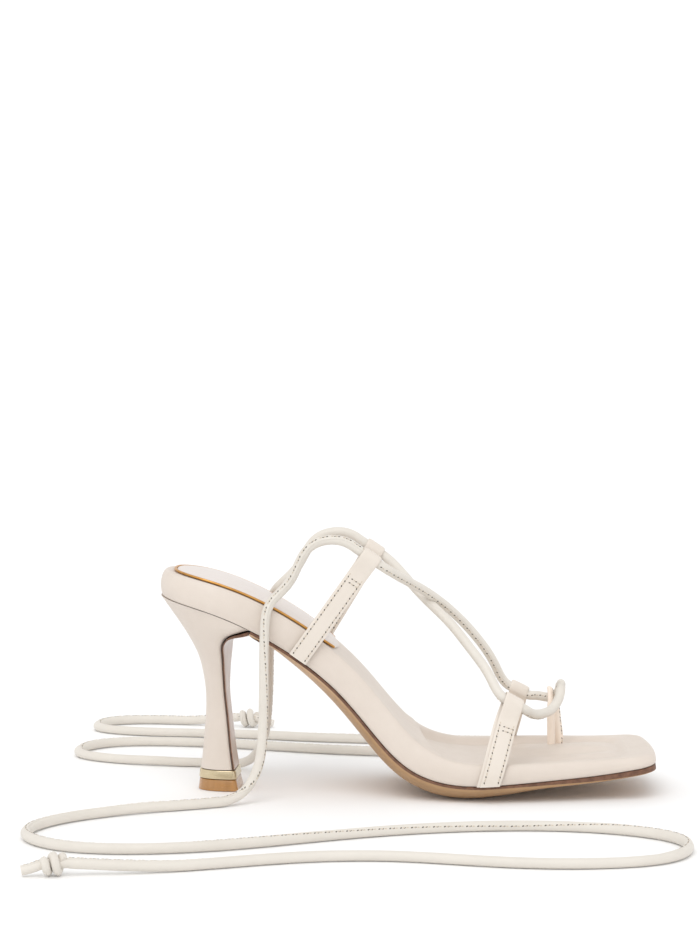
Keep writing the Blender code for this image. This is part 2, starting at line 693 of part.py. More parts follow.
def make_breast_cover(last):
    """Thin sheet over the heel's front, from the outsole down to the band."""
    front_s = last.at_x(HEEL_SEAT_FRONT_X)

    def lip(y):
        """Point on the lip's underside, a little behind the seat's front edge."""
        edge = last.bend(front_s + BREAST_SKEW * y, y, -GAP)
        below = np.array([HEEL_ROWS[0].front_x + BREAST_SKEW * y, y, HEEL_ROWS[0].front_z])
        return edge + (below - edge) * COVER_START

    def breast(i, y):
        """Point on the heel's front at section i, the first being the lip."""
        if i == 0:
            return lip(y)
        row = HEEL_ROWS[i - 1]
        return np.array([row.front_x + BREAST_SKEW * y, y + row.centre_y, row.front_z])

    solid = Solid()
    rings = []
    final = len(HEEL_ROWS)
    for i in range(final + 1):
        along = breast(min(i + 1, final), 0.0) - breast(max(i - 1, 0), 0.0)
        out = np.array([-along[2], 0.0, along[0]]) / math.hypot(along[0], along[2])
        wide = HEEL_ROWS[max(i - 1, 0)].half_width - COVER_INSET
        low = GAP
        high = GAP + COVER_THICK
        across = (1.0, *BREAST_SHARES, -1.0)
        loop = [(low, share * wide) for share in across] + [(high, share * wide) for share in across[::-1]]
        rings.append(solid.add([breast(i, y) + out * offset for offset, y in loop]))
    for lower, upper in zip(rings, rings[1:]):
        solid.band(lower, upper)
    solid.faces.append(tuple(rings[0]))
    solid.faces.append(tuple(rings[-1]))
    return solid.make("heel_breast_cover")


def make_slab(name, rows):
    """D-shaped slab under the heel."""
    solid = Solid()
    rings = []
    for row in rows:
        ends = (row.back_x, row.z), (row.front_x, row.z)
        rings.append(solid.add(d_section(*ends, row.half_width, LIFT_CENTRE_Y)))
    solid.band(rings[0], rings[1])
    close_d(solid, rings[0])
    close_d(solid, rings[1])
    return solid.make(name)


def eye_axis(name):
    """Direction of an eye's bore, towards the toe."""
    slope = math.radians(EYES[name]["slope"])
    return np.array([math.cos(slope), 0.0, -math.sin(slope)])


def strap_path(last, name):
    """Middle line of a strap from the feather line to its eye, and the width direction at each point."""
    eye = np.array(EYES[name]["eye"])
    side = math.copysign(1.0, eye[1])
    s = last.at_x(EYES[name]["base_x"])
    out = last.half_width(side, s) + STRAP_SEAT_GAP + STRAP_THICK / 2
    foot = last.bend(s, side * out, STRAP_FOOT_LIFT)
    ahead = last.line(s + STRAP_THICK) - last.line(s - STRAP_THICK)
    foot_slope = math.atan2(-ahead[1], ahead[0])
    eye_slope = math.radians(EYES[name]["slope"])
    path = []
    for climb, lean in (*STRAP_CLIMB, (1.0, 1.0)):
        point = foot + (eye - foot) * climb
        point[1] = foot[1] + (eye[1] - foot[1]) * lean
        slope = foot_slope + (eye_slope - foot_slope) * climb
        path.append((point, np.array([math.cos(slope), 0.0, -math.sin(slope)])))
    return path


def make_strap(last, name):
    """A folded strap up the side of the shoe, ending in the eye for the lace."""
    path = strap_path(last, name)
    eye, axis = path[-1]
    solid = Solid()
    half = STRAP_WIDTH / 2

    def edges(point, wide):
        """The point on the strap's rear edge and on its front edge."""
        return solid.add([point - half * wide, point + half * wide])

    rise = eye - path[-2][0]
    rise -= axis * rise.dot(axis)
    rise /= np.linalg.norm(rise)
    across = np.cross(rise, axis)
    first_angle = -math.pi / 2 - math.pi / EYE_SIDES
    outer = []
    inner = []
    for k in range(EYE_SIDES):
        angle = first_angle + 2 * math.pi * k / EYE_SIDES
        ray = across * math.cos(angle) + rise * math.sin(angle)
        outer.append(edges(eye + ray * (EYE_RADIUS + EYE_WALL), axis))
        inner.append(edges(eye + ray * EYE_RADIUS, axis))
    for k in range(EYE_SIDES):
        m = (k + 1) % EYE_SIDES
        for edge in (0, 1):
            solid.faces.append((outer[k][edge], outer[m][edge], inner[m][edge], inner[k][edge]))
        solid.faces.append((inner[k][0], inner[m][0], inner[m][1], inner[k][1]))
        if k > 0:
            solid.faces.append((outer[k][0], outer[m][0], outer[m][1], outer[k][1]))
    rows = []
    for i, (point, wide) in enumerate(path[:-1]):
        along = path[i + 1][0] - path[max(i - 1, 0)][0]
        normal = np.cross(along, wide)
        normal /= np.linalg.norm(normal)
        rows.append([edges(point + normal * side * STRAP_THICK / 2, wide) for side in (-1, 1)])
    rows.append([outer[0], outer[1]])
    for lower, upper in zip(rows, rows[1:]):
        for side in (0, 1):
            solid.faces.append((lower[side][0], lower[side][1], upper[side][1], upper[side][0]))
        for edge in (0, 1):
            solid.faces.append((lower[0][edge], lower[1][edge], upper[1][edge], upper[0][edge]))
    solid.faces.append((rows[0][0][0], rows[0][0][1], rows[0][1][1], rows[0][1][0]))
    return solid.make(name)


def tube(solid, points, radii):
    """A closed round tube through points, with a radius at each."""
    points = [Vector(p) for p in points]
    tangents = []
    for i in range(len(points)):
        tangents.append((points[min(i + 1, len(points) - 1)] - points[max(i - 1, 0)]).normalized())
    side = tangents[0].orthogonal().normalized()
    rings = []
    for i, (point, tangent) in enumerate(zip(points, tangents)):
        if i > 0:
            side = tangents[i - 1].rotation_difference(tangent) @ side
        up = tangent.cross(side)
        ring = []
        for k in range(TUBE_SIDES):
            angle = 2 * math.pi * k / TUBE_SIDES
            ring.append(point + radii[i] * (math.cos(angle) * side + math.sin(angle) * up))
        rings.append(solid.add(ring))
    for lower, upper in zip(rings, rings[1:]):
        solid.band(lower, upper)
    solid.faces.append(tuple(rings[0]))
    solid.faces.append(tuple(rings[-1]))


def past_eye(name, distance):
    """A point on an eye's axis; a negative distance lies towards the heel."""
    return np.array(EYES[name]["eye"]) + eye_axis(name) * distance


def lace_half(rear, instep, into, front, toe):
    """Route of one half of the lace, from behind its rear eye to the toe post."""
    return [
        past_eye(rear, -LACE_PAST_EYE),
        past_eye(rear, 0.0),
        past_eye(rear, EYE_RUN),
        *instep,
        *into,
        past_eye(front, -EYE_RUN),
        past_eye(front, 0.0),
        past_eye(front, EYE_RUN),
        *toe,
    ]


def make_lace():
    """The lace over the instep: two halves, joined where they cross and where they meet at the toe."""
    halves = (
        ("lace", lace_half("strap_rear_lateral", INSTEP_FROM_LATERAL, INTO_FRONT_MEDIAL, "strap_front_medial",
                           TOE_FROM_MEDIAL)),
        ("lace_half", lace_half("strap_rear_medial", INSTEP_FROM_MEDIAL, INTO_FRONT_LATERAL,
                                "strap_front_lateral", TOE_FROM_LATERAL)),
    )
    made = []
    for name, route in halves:
        points = smooth_route(route, LACE_STEP)
        solid = Solid()
        tube(solid, points, [LACE_RADIUS] * len(points))
        made.append(solid.make(name))
    first, second = made
    second.hide_render = True
    second.display_type = "WIRE"
    join = first.modifiers.new("join", "BOOLEAN")
    join.operation = "UNION"
    join.solver = "EXACT"
    join.object = second
    return first


def make_toe_post(last):
    """Rolled loop over the lace, both feet on the footbed."""
    def foot(spot):
        s = last.at_x(spot[0])
        return (spot[0], spot[1], last.bend(s, spot[1], last.top(s, spot[1], 1.0))[2] + POST_SEAT_GAP)

    points = smooth_route([foot(POST_NEAR_FOOT), *POST_ROUTE, foot(POST_FAR_FOOT)], POST_STEP)
    radii = np.interp([point[2] for point in points], POST_THINNED, (POST_RADIUS, POST_ARCH_RADIUS))
    solid = Solid()
    tube(solid, points, radii.tolist())
    return solid.make("toe_post")


def tie_route(rear, drop, floor):
    """Route of a free tie, from just behind the lace's end to its stopper knot."""
    lying = [(x, y, FLOOR_Z) for x, y in floor[:-1]]
    end = (*floor[-1], KNOT_CENTRE_Z)
    start = -LACE_PAST_EYE - TIE_GAP
    return [past_eye(rear, start), past_eye(rear, start - TIE_STRAIGHT), *drop, *lying, end]


def make_tie(name, rear, drop, floor):
    """A free end of the lace, as a round cord."""
    points = smooth_route(tie_route(rear, drop, floor), TIE_STEP)
    points[:, 2] = np.maximum(points[:, 2], FLOOR_Z)
    data = bpy.data.curves.new(name, "CURVE")
    data.dimensions = "3D"
    data.bevel_depth = TIE_DIAMETER / 2 * MM
    data.bevel_resolution = 2
    data.use_fill_caps = True
    spline = data.splines.new("POLY")
    spline.points.add(len(points) - 1)
    for spot, point in zip(spline.points, points):
        spot.co = (*(point * MM), 1.0)
    obj = bpy.data.objects.new(name, data)
    obj.data.materials.append(finish_of(name))
    bpy.context.collection.objects.link(obj)
    return points


def make_knot(name, tie_points):
    """Stopper knot and the short tail that comes out of it."""
    direction = tie_points[-1] - tie_points[-2]
    direction[2] = 0.0
    direction /= np.linalg.norm(direction)
    start = tie_points[-1] + direction * TIE_GAP
    points = [start + direction * share * KNOT_LENGTH for share, radius in KNOT_PROFILE]
    solid = Solid()
    tube(solid, points, [radius for share, radius in KNOT_PROFILE])
    return solid.make(name)


def main():
    clear_scene()
    last = Last()
    make_outsole(last)
    make_footbed(last)
    make_heel_sock(last)
    make_sock_piping(last)
    make_heel(last)
    make_breast_cover(last)
    make_slab("heel_band", BAND_ROWS)
    make_slab("top_lift", LIFT_ROWS)
    for name in EYES:
        make_strap(last, name)
    make_toe_post(last)
    make_lace()
    ties = (
        ("lateral", "strap_rear_lateral", TIE_LATERAL_DROP, TIE_LATERAL_FLOOR),
        ("medial", "strap_rear_medial", TIE_MEDIAL_DROP, TIE_MEDIAL_FLOOR),
    )
    for side, rear, drop, floor in ties:
        points = make_tie("tie_" + side, rear, drop, floor)
        make_knot("tie_knot_" + side, points)


main()
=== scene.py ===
# %% [markdown]
# # A lace-up dress sandal on a flared heel
# The solids of the sandal come from the frame: they have the right sizes and places. This lesson dresses
# them. Each piece is made again with the folds, seams, stitches and padding of the real one, in the
# same place as its solid, and then gets a finish built from nodes. The first cell loads the solids and
# keeps the box that they fill, because the dressed sandal has to stay in it.

import math

import bmesh
import bpy
import numpy as np
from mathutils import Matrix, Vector


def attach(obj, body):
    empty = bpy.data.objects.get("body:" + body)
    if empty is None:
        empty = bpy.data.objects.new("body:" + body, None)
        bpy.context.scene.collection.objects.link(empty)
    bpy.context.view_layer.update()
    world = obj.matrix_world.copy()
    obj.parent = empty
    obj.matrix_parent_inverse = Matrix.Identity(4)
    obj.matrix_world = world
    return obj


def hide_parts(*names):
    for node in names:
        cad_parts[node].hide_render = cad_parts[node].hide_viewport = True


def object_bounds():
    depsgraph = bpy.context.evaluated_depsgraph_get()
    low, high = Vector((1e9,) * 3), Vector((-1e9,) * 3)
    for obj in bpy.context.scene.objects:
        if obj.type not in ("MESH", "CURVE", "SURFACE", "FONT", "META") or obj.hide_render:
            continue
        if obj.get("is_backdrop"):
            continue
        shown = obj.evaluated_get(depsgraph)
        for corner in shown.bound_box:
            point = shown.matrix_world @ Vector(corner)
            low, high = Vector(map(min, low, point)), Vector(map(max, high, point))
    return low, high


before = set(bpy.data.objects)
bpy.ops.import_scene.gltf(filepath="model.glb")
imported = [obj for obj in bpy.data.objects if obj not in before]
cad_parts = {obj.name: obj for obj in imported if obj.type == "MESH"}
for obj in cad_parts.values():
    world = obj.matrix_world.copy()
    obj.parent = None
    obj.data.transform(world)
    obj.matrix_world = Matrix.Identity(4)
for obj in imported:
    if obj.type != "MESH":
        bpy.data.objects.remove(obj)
SOLID_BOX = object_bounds()
MM = 0.001
print("solids:", len(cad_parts), "box:", [tuple(round(v, 4) for v in corner) for corner in SOLID_BOX])

# %% [markdown]
# ## The camera
# The picture is an upright one, taken from the outer side of the shoe with a long lens, a little above
# the floor and tipped down by some four degrees. A lens is easier to fit as a focal length in picture
# points; Blender wants millimetres on a 36 mm sensor, and the longer side of the picture counts.

# %% Camera
PICTURE_HEIGHT = 933
FOCAL_POINTS = 2664
SENSOR = 36.0
CAMERA_PLACE = (-0.0266, -1.2, 0.235)
CAMERA_PITCH = 4.22


def put(name, data):
    """A new object with this data, linked into the scene."""
    made = bpy.data.objects.new(name, data)
    bpy.context.scene.collection.objects.link(made)
    return made


lens = bpy.data.cameras.new("camera")
lens.sensor_width = SENSOR
lens.lens = FOCAL_POINTS / PICTURE_HEIGHT * SENSOR
camera = put("camera", lens)
camera.location = CAMERA_PLACE
camera.rotation_euler = (math.radians(90 - CAMERA_PITCH), 0.0, 0.0)
bpy.context.scene.camera = camera
print("lens:", round(lens.lens, 1), "mm")

# %% [markdown]
# ## Writing a finish as arithmetic
# A finish is a material made of nodes. Wiring nodes one by one is slow to read, so two small classes
# help: a Finish makes any node from its type, settings and sockets, and a Wire is a value on its way
# through the nodes. Adding or multiplying wires adds Math nodes, so a recipe reads like a formula.
# Every finish works in millimetres on the shoe, so that grain has its real size.

# %% Wires


class Wire:
    """A value on its way through the nodes of a finish."""

    def __init__(self, finish, socket):
        self.finish = finish
        self.socket = socket

    def maths(self, operation, *values):
        return self.finish.node("ShaderNodeMath", {"operation": operation}, dict(enumerate(values)))

    def __add__(self, other):
        return self.maths("ADD", self, other)

    def __sub__(self, other):
        return self.maths("SUBTRACT", self, other)

    def __rsub__(self, other):
        return self.maths("SUBTRACT", other, self)

    def __mul__(self, other):
        return self.maths("MULTIPLY", self, other)

    __radd__ = __add__
    __rmul__ = __mul__


print("operators of a wire: + - *")

# %% Finishes


class Finish:
    """A material: its shader with constant sockets, and the nodes that feed the others."""

    def __init__(self, name, constants):
        self.material = bpy.data.materials.new(name)
        self.material.use_nodes = True
        self.tree = self.material.node_tree
        self.shader = self.tree.nodes["Principled BSDF"]
        for socket, value in constants.items():
            self.shader.inputs[socket].default_value = value

    def node(self, kind, settings=None, sockets=None, result=0):
        made = self.tree.nodes.new(kind)
        for key, value in (settings or {}).items():
            setattr(made, key, value)
        for key, value in (sockets or {}).items():
            self.plug(value, made.inputs[key])
        return Wire(self, made.outputs[result])

    def plug(self, value, socket):
        if isinstance(value, Wire):
            self.tree.links.new(value.socket, socket)
        else:
            socket.default_value = value

    def feed(self, socket, value):
        self.plug(value, self.shader.inputs[socket])

    def place(self, stretch=(1.0, 1.0, 1.0)):
        """Where a point lies on the shoe, in millimetres."""
        spot = self.node("ShaderNodeTexCoord", result="Object")
        scale = tuple(value / MM for value in stretch)
        return self.node("ShaderNodeVectorMath", {"operation": "MULTIPLY"}, {0: spot, 1: scale})

    def noise(self, place, size, detail=3.0, roughness=0.5):
        """Soft noise whose blotches are about size across."""
        sockets = {"Vector": place, "Scale": 1.0 / size, "Detail": detail, "Roughness": roughness}
        return self.node("ShaderNodeTexNoise", None, sockets)

    def cells(self, place, size):
        """Pebbles about size across: 0 on the creases between them."""
        sockets = {"Vector": place, "Scale": 1.0 / size}
        return self.node("ShaderNodeTexVoronoi", {"feature": "DISTANCE_TO_EDGE"}, sockets)

    def clamp(self, value, low, high):
        """0 at low, 1 at high and straight between."""
        sockets = {"Value": value, "From Min": low, "From Max": high}
        return self.node("ShaderNodeMapRange", None, sockets)

    def tint(self, share, first, second):
        """A colour between two."""
        ends = [one if isinstance(one, Wire) else (*one, 1.0) for one in (first, second)]
        return self.node("ShaderNodeMix", {"data_type": "RGBA"}, {0: share, 6: ends[0], 7: ends[1]}, 2)

    def paint(self, share, pale, deep):
        """The base colour, between two screen colours."""
        self.feed("Base Color", self.tint(share, tone(*pale), tone(*deep)))

    def relief(self, height, depth):
        """Bump of this depth in millimetres."""
        sockets = {"Height": height, "Distance": depth * MM, "Strength": 1.0}
        self.feed("Normal", self.node("ShaderNodeBump", None, sockets))


def tone(*screen):
    """A screen colour as the linear numbers that a shader wants."""
    return tuple(v / 255 / 12.92 if v < 11 else ((v / 255 + 0.055) / 1.055) ** 2.4 for v in screen)


print("finish helpers ready")

# %% [markdown]
# ## Leather, thread and the painted shade of stitch holes
# The cover, straps and cords are thin smooth leather with a soft sheen. Three things make it leather
# and not paint: a colour that drifts a little over some centimetres, a fine pebble with darker pores,
# and a gloss that changes with both. One recipe serves all of it, with a different colour and grain.
# Thread is a twist of two plies; the holes beside each stitch are low patches painted dark, as painted shade
# for the shadow inside a hole.

# %% Leather and thread
DRIFT_SIZE = 34.0
CRINKLE_SIZE = 5.5
LEATHER_DEPTH = 0.035


def leather(name, pale, deep, grain, gloss):
    """Smooth leather: grain is the pebble's size in millimetres, gloss the roughness of its flats."""
    finish = Finish(name, {"Coat Weight": 0.06, "Coat Roughness": 0.35, "Specular IOR Level": 0.42})
    place = finish.place()
    drift = finish.noise(place, DRIFT_SIZE, detail=2.0)
    crinkle = finish.noise(place, CRINKLE_SIZE, detail=4.0, roughness=0.6)
    push = finish.node("ShaderNodeTexNoise", None, {"Vector": place, "Scale": 0.6 / grain}, "Color")
    warped = finish.node("ShaderNodeVectorMath", {"operation": "MULTIPLY_ADD"},
                         {0: push, 1: (grain * 0.5,) * 3, 2: place})
    pebble = finish.clamp(finish.cells(warped, grain), 0.0, 0.32)
    pores = finish.clamp(finish.noise(place, grain * 0.45, detail=1.0), 0.62, 0.74)
    finish.paint(drift * 0.55 + crinkle * 0.35 + pores * 0.18, pale, deep)
    finish.feed("Roughness", gloss + crinkle * 0.12 - pebble * 0.05)
    finish.relief(pebble * 0.55 + crinkle * 0.7 - pores * 0.35, LEATHER_DEPTH)
    return finish


CORD_LEATHER = leather("cord_leather", (229, 223, 214), (212, 206, 196), 0.42, 0.40)

THREAD = Finish("thread", {"Roughness": 0.6})
ply = THREAD.noise(THREAD.place(), 0.22, detail=2.0)
THREAD.paint(ply, (222, 210, 194), (188, 175, 156))
THREAD.relief(ply, 0.06)

# Painted shade: each stitch hole is a low patch painted dark in place of the shadow inside the hole.
STITCH_HOLE_SHADE = Finish("stitch_hole_painted_shade", {"Roughness": 0.85})
hole_shade_noise = STITCH_HOLE_SHADE.noise(STITCH_HOLE_SHADE.place(), 0.3)
STITCH_HOLE_SHADE.paint(hole_shade_noise, (84, 74, 60), (50, 44, 36))
SEWN = [THREAD, STITCH_HOLE_SHADE]
print("sewing finishes:", [finish.material.name for finish in SEWN])

# %% [markdown]
# ## Smooth curves and shapes
# Cords, soles and heels are all drawn from a few measured points. A natural cubic spline is the curve
# that a thin wooden batten takes when it is bent past pins, and it needs no handles. A Shape collects
# points and faces in millimetres and turns them into a mesh at the end. Building meshes from
# rows of points is plain, but it keeps the count of faces and every edge in hand.

# %% Curves
ROUTE_SAMPLES = 4000


class Smooth:
    """The natural cubic through values at knots; a value is a number or a point."""

    def __init__(self, knots, values):
        self.knots = np.asarray(knots, float)
        self.values = np.asarray(values, float).reshape(len(self.knots), -1)
        step = np.diff(self.knots)
        system = np.eye(len(self.knots))
        right = np.zeros(self.values.shape)
        slope = np.diff(self.values, axis=0) / step[:, None]
        for i in range(1, len(step)):
            system[i, i - 1:i + 2] = step[i - 1], 2 * (step[i - 1] + step[i]), step[i]
            right[i] = 6 * (slope[i] - slope[i - 1])
        self.bent = np.linalg.solve(system, right)

    def __call__(self, where):
        where = np.atleast_1d(np.asarray(where, float))
        i = np.clip(np.searchsorted(self.knots, where) - 1, 0, len(self.knots) - 2)
        width = (self.knots[i + 1] - self.knots[i])[:, None]
        a = (self.knots[i + 1] - where)[:, None] / width
        b = 1 - a
        bow = (a**3 - a) * self.bent[i] + (b**3 - b) * self.bent[i + 1]
        found = a * self.values[i] + b * self.values[i + 1] + bow * width**2 / 6
        return found[:, 0] if found.shape[1] == 1 else found


def reach(points):
    """How far along a row of points each one lies."""
    return np.concatenate([[0.0], np.cumsum(np.linalg.norm(np.diff(points, axis=0), axis=1))])


def evenly(points, spacing):
    """The same row of points, spaced evenly."""
    along = reach(points)
    wanted = np.linspace(0, along[-1], max(2, round(along[-1] / spacing) + 1))
    return np.stack([np.interp(wanted, along, points[:, k]) for k in range(points.shape[1])], axis=1)


def route(points, spacing):
    """Points about spacing apart on the smooth curve through points."""
    points = np.asarray(points, float)
    knots = reach(points)
    return evenly(Smooth(knots, points)(np.linspace(0, knots[-1], ROUTE_SAMPLES)), spacing)


def unit(vectors):
    return vectors / np.linalg.norm(vectors, axis=-1, keepdims=True)


print("samples on a route:", ROUTE_SAMPLES)

# %% Shapes


class Shape:
    """Points and faces of one piece, in millimetres; each face has the number of its finish."""

    def __init__(self):
        self.points = []
        self.faces = []
        self.finish = []

    def add(self, points):
        first = len(self.points)
        self.points.extend(np.asarray(points, float).reshape(-1, 3).tolist())
        return np.arange(first, len(self.points))

    def face(self, corners, finish=0):
        self.faces.append([int(c) for c in corners])
        self.finish.append(finish)

    def skin(self, grid, wrap=False, finish=0):
        """Faces over a grid of point numbers; wrap joins its last column to the first."""
        columns = len(grid[0])
        for lower, upper in zip(grid, grid[1:]):
            for i in range(columns if wrap else columns - 1):
                j = (i + 1) % columns
                self.face((lower[i], lower[j], upper[j], upper[i]), finish)

    def tube(self, rings):
        """Faces around closed rings, and one face on each end."""
        self.skin(rings, wrap=True)
        self.face(rings[0])
        self.face(rings[-1])

    def make(self, name, finishes, sharp=38.0):
        """The finished piece, in place of the solid of the same name."""
        mesh = bpy.data.meshes.new(name)
        mesh.from_pydata((np.array(self.points) * MM).tolist(), [], self.faces)
        mesh.polygons.foreach_set("material_index", self.finish)
        work = bmesh.new()
        work.from_mesh(mesh)
        bmesh.ops.recalc_face_normals(work, faces=work.faces)
        work.to_mesh(mesh)
        work.free()
        mesh.shade_smooth()
        mesh.set_sharp_from_angle(angle=math.radians(sharp))
        piece = put("dressed_" + name, mesh)
        for finish in finishes:
            mesh.materials.append(finish.material)
        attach(piece, "root")
        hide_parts(name)
        print(piece.name, "faces:", len(mesh.polygons), "open edges:", open_edges(mesh))
        return piece


def open_edges(mesh):
    """Edges that don't have two faces; none on a closed piece."""
    work = bmesh.new()
    work.from_mesh(mesh)
    count = sum(len(edge.link_faces) != 2 for edge in work.edges)
    work.free()
    return count


print("shape helpers ready")

# %% [markdown]
# ## Stitches
# A machine stitch is a short hump of thread that dives into a hole at each end. The humps catch the
# light, and the holes are low patches painted dark as painted shade, standing in for the shadow inside
# a hole; at arm's length the holes are what the eye reads as stitching. The needle's blade cuts them a
# little aslant. Both are small closed shapes, copied along a line with its own direction and its own
# way out.

# %% Stitch shapes
STITCH_WIDTH = 0.55
STITCH_RISE = 0.2
STITCH_SINK = 0.12
HOLE_LENGTH = 1.1
HOLE_WIDTH = 0.6
HOLE_RISE = 0.07
HOLE_SINK = 0.1
HOLE_SLANT = math.radians(20)
DOME_SIDES = 8


def copy_along(shape, points, faces, spots, along, out, finish):
    """Copies of a small shape: its own axes are along the line, across it and out of the leather."""
    across = np.cross(out, along)
    for spot, a, b, c in zip(spots, along, across, out):
        numbers = shape.add(spot + points @ np.stack([a, b, c]))
        for one in faces:
            shape.face(numbers[list(one)], finish)


def dome(length, width, rise, sink):
    """A low closed hump with an oval foot."""
    count = DOME_SIDES
    turn = np.arange(count) * 2 * math.pi / count
    oval = np.stack([np.cos(turn) * length / 2, np.sin(turn) * width / 2, np.zeros(count)], axis=1)
    shoulder = oval * (0.8, 0.75, 0) + (0, 0, rise * 0.75)
    faces = [tuple(range(count))]
    for i in range(count):
        j = (i + 1) % count
        faces += [(i, j, count + j, count + i), (count + i, count + j, 2 * count)]
    return np.concatenate([oval - (0, 0, sink), shoulder, [(0, 0, rise)]]), faces


def sew(shape, spots, along, out, pitch):
    """Holes at each spot with thread between them; finish 1 is the thread and 2 the hole's painted shade."""
    along = unit(along - out * np.sum(along * out, axis=1, keepdims=True))
    slanted = math.cos(HOLE_SLANT) * along + math.sin(HOLE_SLANT) * np.cross(out, along)
    copy_along(shape, *dome(HOLE_LENGTH, HOLE_WIDTH, HOLE_RISE, HOLE_SINK), spots, slanted, out, 2)
    thread = dome(pitch - HOLE_LENGTH, STITCH_WIDTH, STITCH_RISE, STITCH_SINK)
    copy_along(shape, *thread, spots + along * pitch / 2, along, out, 1)


print("stitch holes:", HOLE_LENGTH, "by", HOLE_WIDTH, "mm")

# %% [markdown]
# ## The free ties
# The lace is a strip of leather, rolled into a round cord and sewn along its overlapping edge. Its
# two free ends leave the rear loops, come down over the rim of the footbed, hang to the floor and lie
# there in loose curves, each with a stopper knot. The route goes through the same points as the solid
# cord. The tube's section is a spiral that overlaps itself, so the raw edge shows as a real step, with
# the stitches beside it.

# %% Rolled cord
CORD_RADIUS = 2.15
CORD_SIDES = 20
CORD_STEP = 1.6
EDGE_STEP = 0.13
# Angles in radians: half the slit between the cord's two edges, and how far from it the stitches lie
SEAM_SLIT = 0.05
SEAM_TURN = 0.62
CORD_PITCH = 2.4


def facing_along(points, facing):
    """Tangent, seam direction and side along a route; facing lists (share, direction the seam looks)."""
    ahead = unit(np.gradient(points, axis=0))
    share = reach(points) / reach(points)[-1]
    stops = [stop for stop, _ in facing]
    looks = np.array([unit(np.array(look, float)) for _, look in facing])
    look = np.stack([np.interp(share, stops, looks[:, k]) for k in range(3)], axis=1)
    seam = unit(look - ahead * np.sum(look * ahead, axis=1, keepdims=True))
    return ahead, seam, np.cross(ahead, seam)


def roll(shape, points, facing, radius=CORD_RADIUS, sewn=True, sides=CORD_SIDES):
    """A rolled and sewn cord along points; the radius is a number or a list for the points."""
    ahead, seam, side = facing_along(points, facing)
    radius = np.broadcast_to(radius, len(points))
    turn = np.linspace(SEAM_SLIT, 2 * math.pi - SEAM_SLIT, sides)
    edge = EDGE_STEP * (1 - turn / math.pi)

    def on(i, angle, distance):
        return points[i] + distance * (math.cos(angle) * seam[i] + math.sin(angle) * side[i])

    shape.tube([shape.add([on(i, a, thick + e) for a, e in zip(turn, edge)])
                for i, thick in enumerate(radius)])
    if sewn:
        along = reach(points)
        wanted = np.arange(CORD_PITCH, along[-1] - CORD_PITCH, CORD_PITCH)
        picks = np.searchsorted(along, wanted)
        out = unit(math.cos(SEAM_TURN) * seam[picks] + math.sin(SEAM_TURN) * side[picks])
        height = radius[picks, None] + EDGE_STEP * (1 - SEAM_TURN / math.pi)
        sew(shape, points[picks] + out * height, ahead[picks], out, CORD_PITCH)


print("cord:", 2 * CORD_RADIUS, "mm thick")

# %% Eyes of the straps
# Where the strap leaves the sole, the middle of its eye, and the slope of the lace through it
EYES = {
    "strap_front_lateral": {"base_x": 35.0, "eye": (45.9, -25.5, 43.0), "slope": 29.0},
    "strap_front_medial": {"base_x": 45.5, "eye": (51.7, 23.5, 40.8), "slope": 26.0},
    "strap_rear_lateral": {"base_x": -50.0, "eye": (-17.7, -24.0, 107.5), "slope": 34.0},
    "strap_rear_medial": {"base_x": -44.5, "eye": (-15.5, 24.0, 106.6), "slope": 34.0},
}
LACE_PAST_EYE = 7.0
EYE_RUN = 5.0
TIE_GAP = 0.7
TIE_STRAIGHT = 3.0


def past_eye(name, distance):
    """A point on the line of a strap's eye; a negative distance lies towards the heel."""
    slope = math.radians(EYES[name]["slope"])
    return np.array(EYES[name]["eye"]) + distance * np.array([math.cos(slope), 0.0, -math.sin(slope)])


print("eyes:", len(EYES))

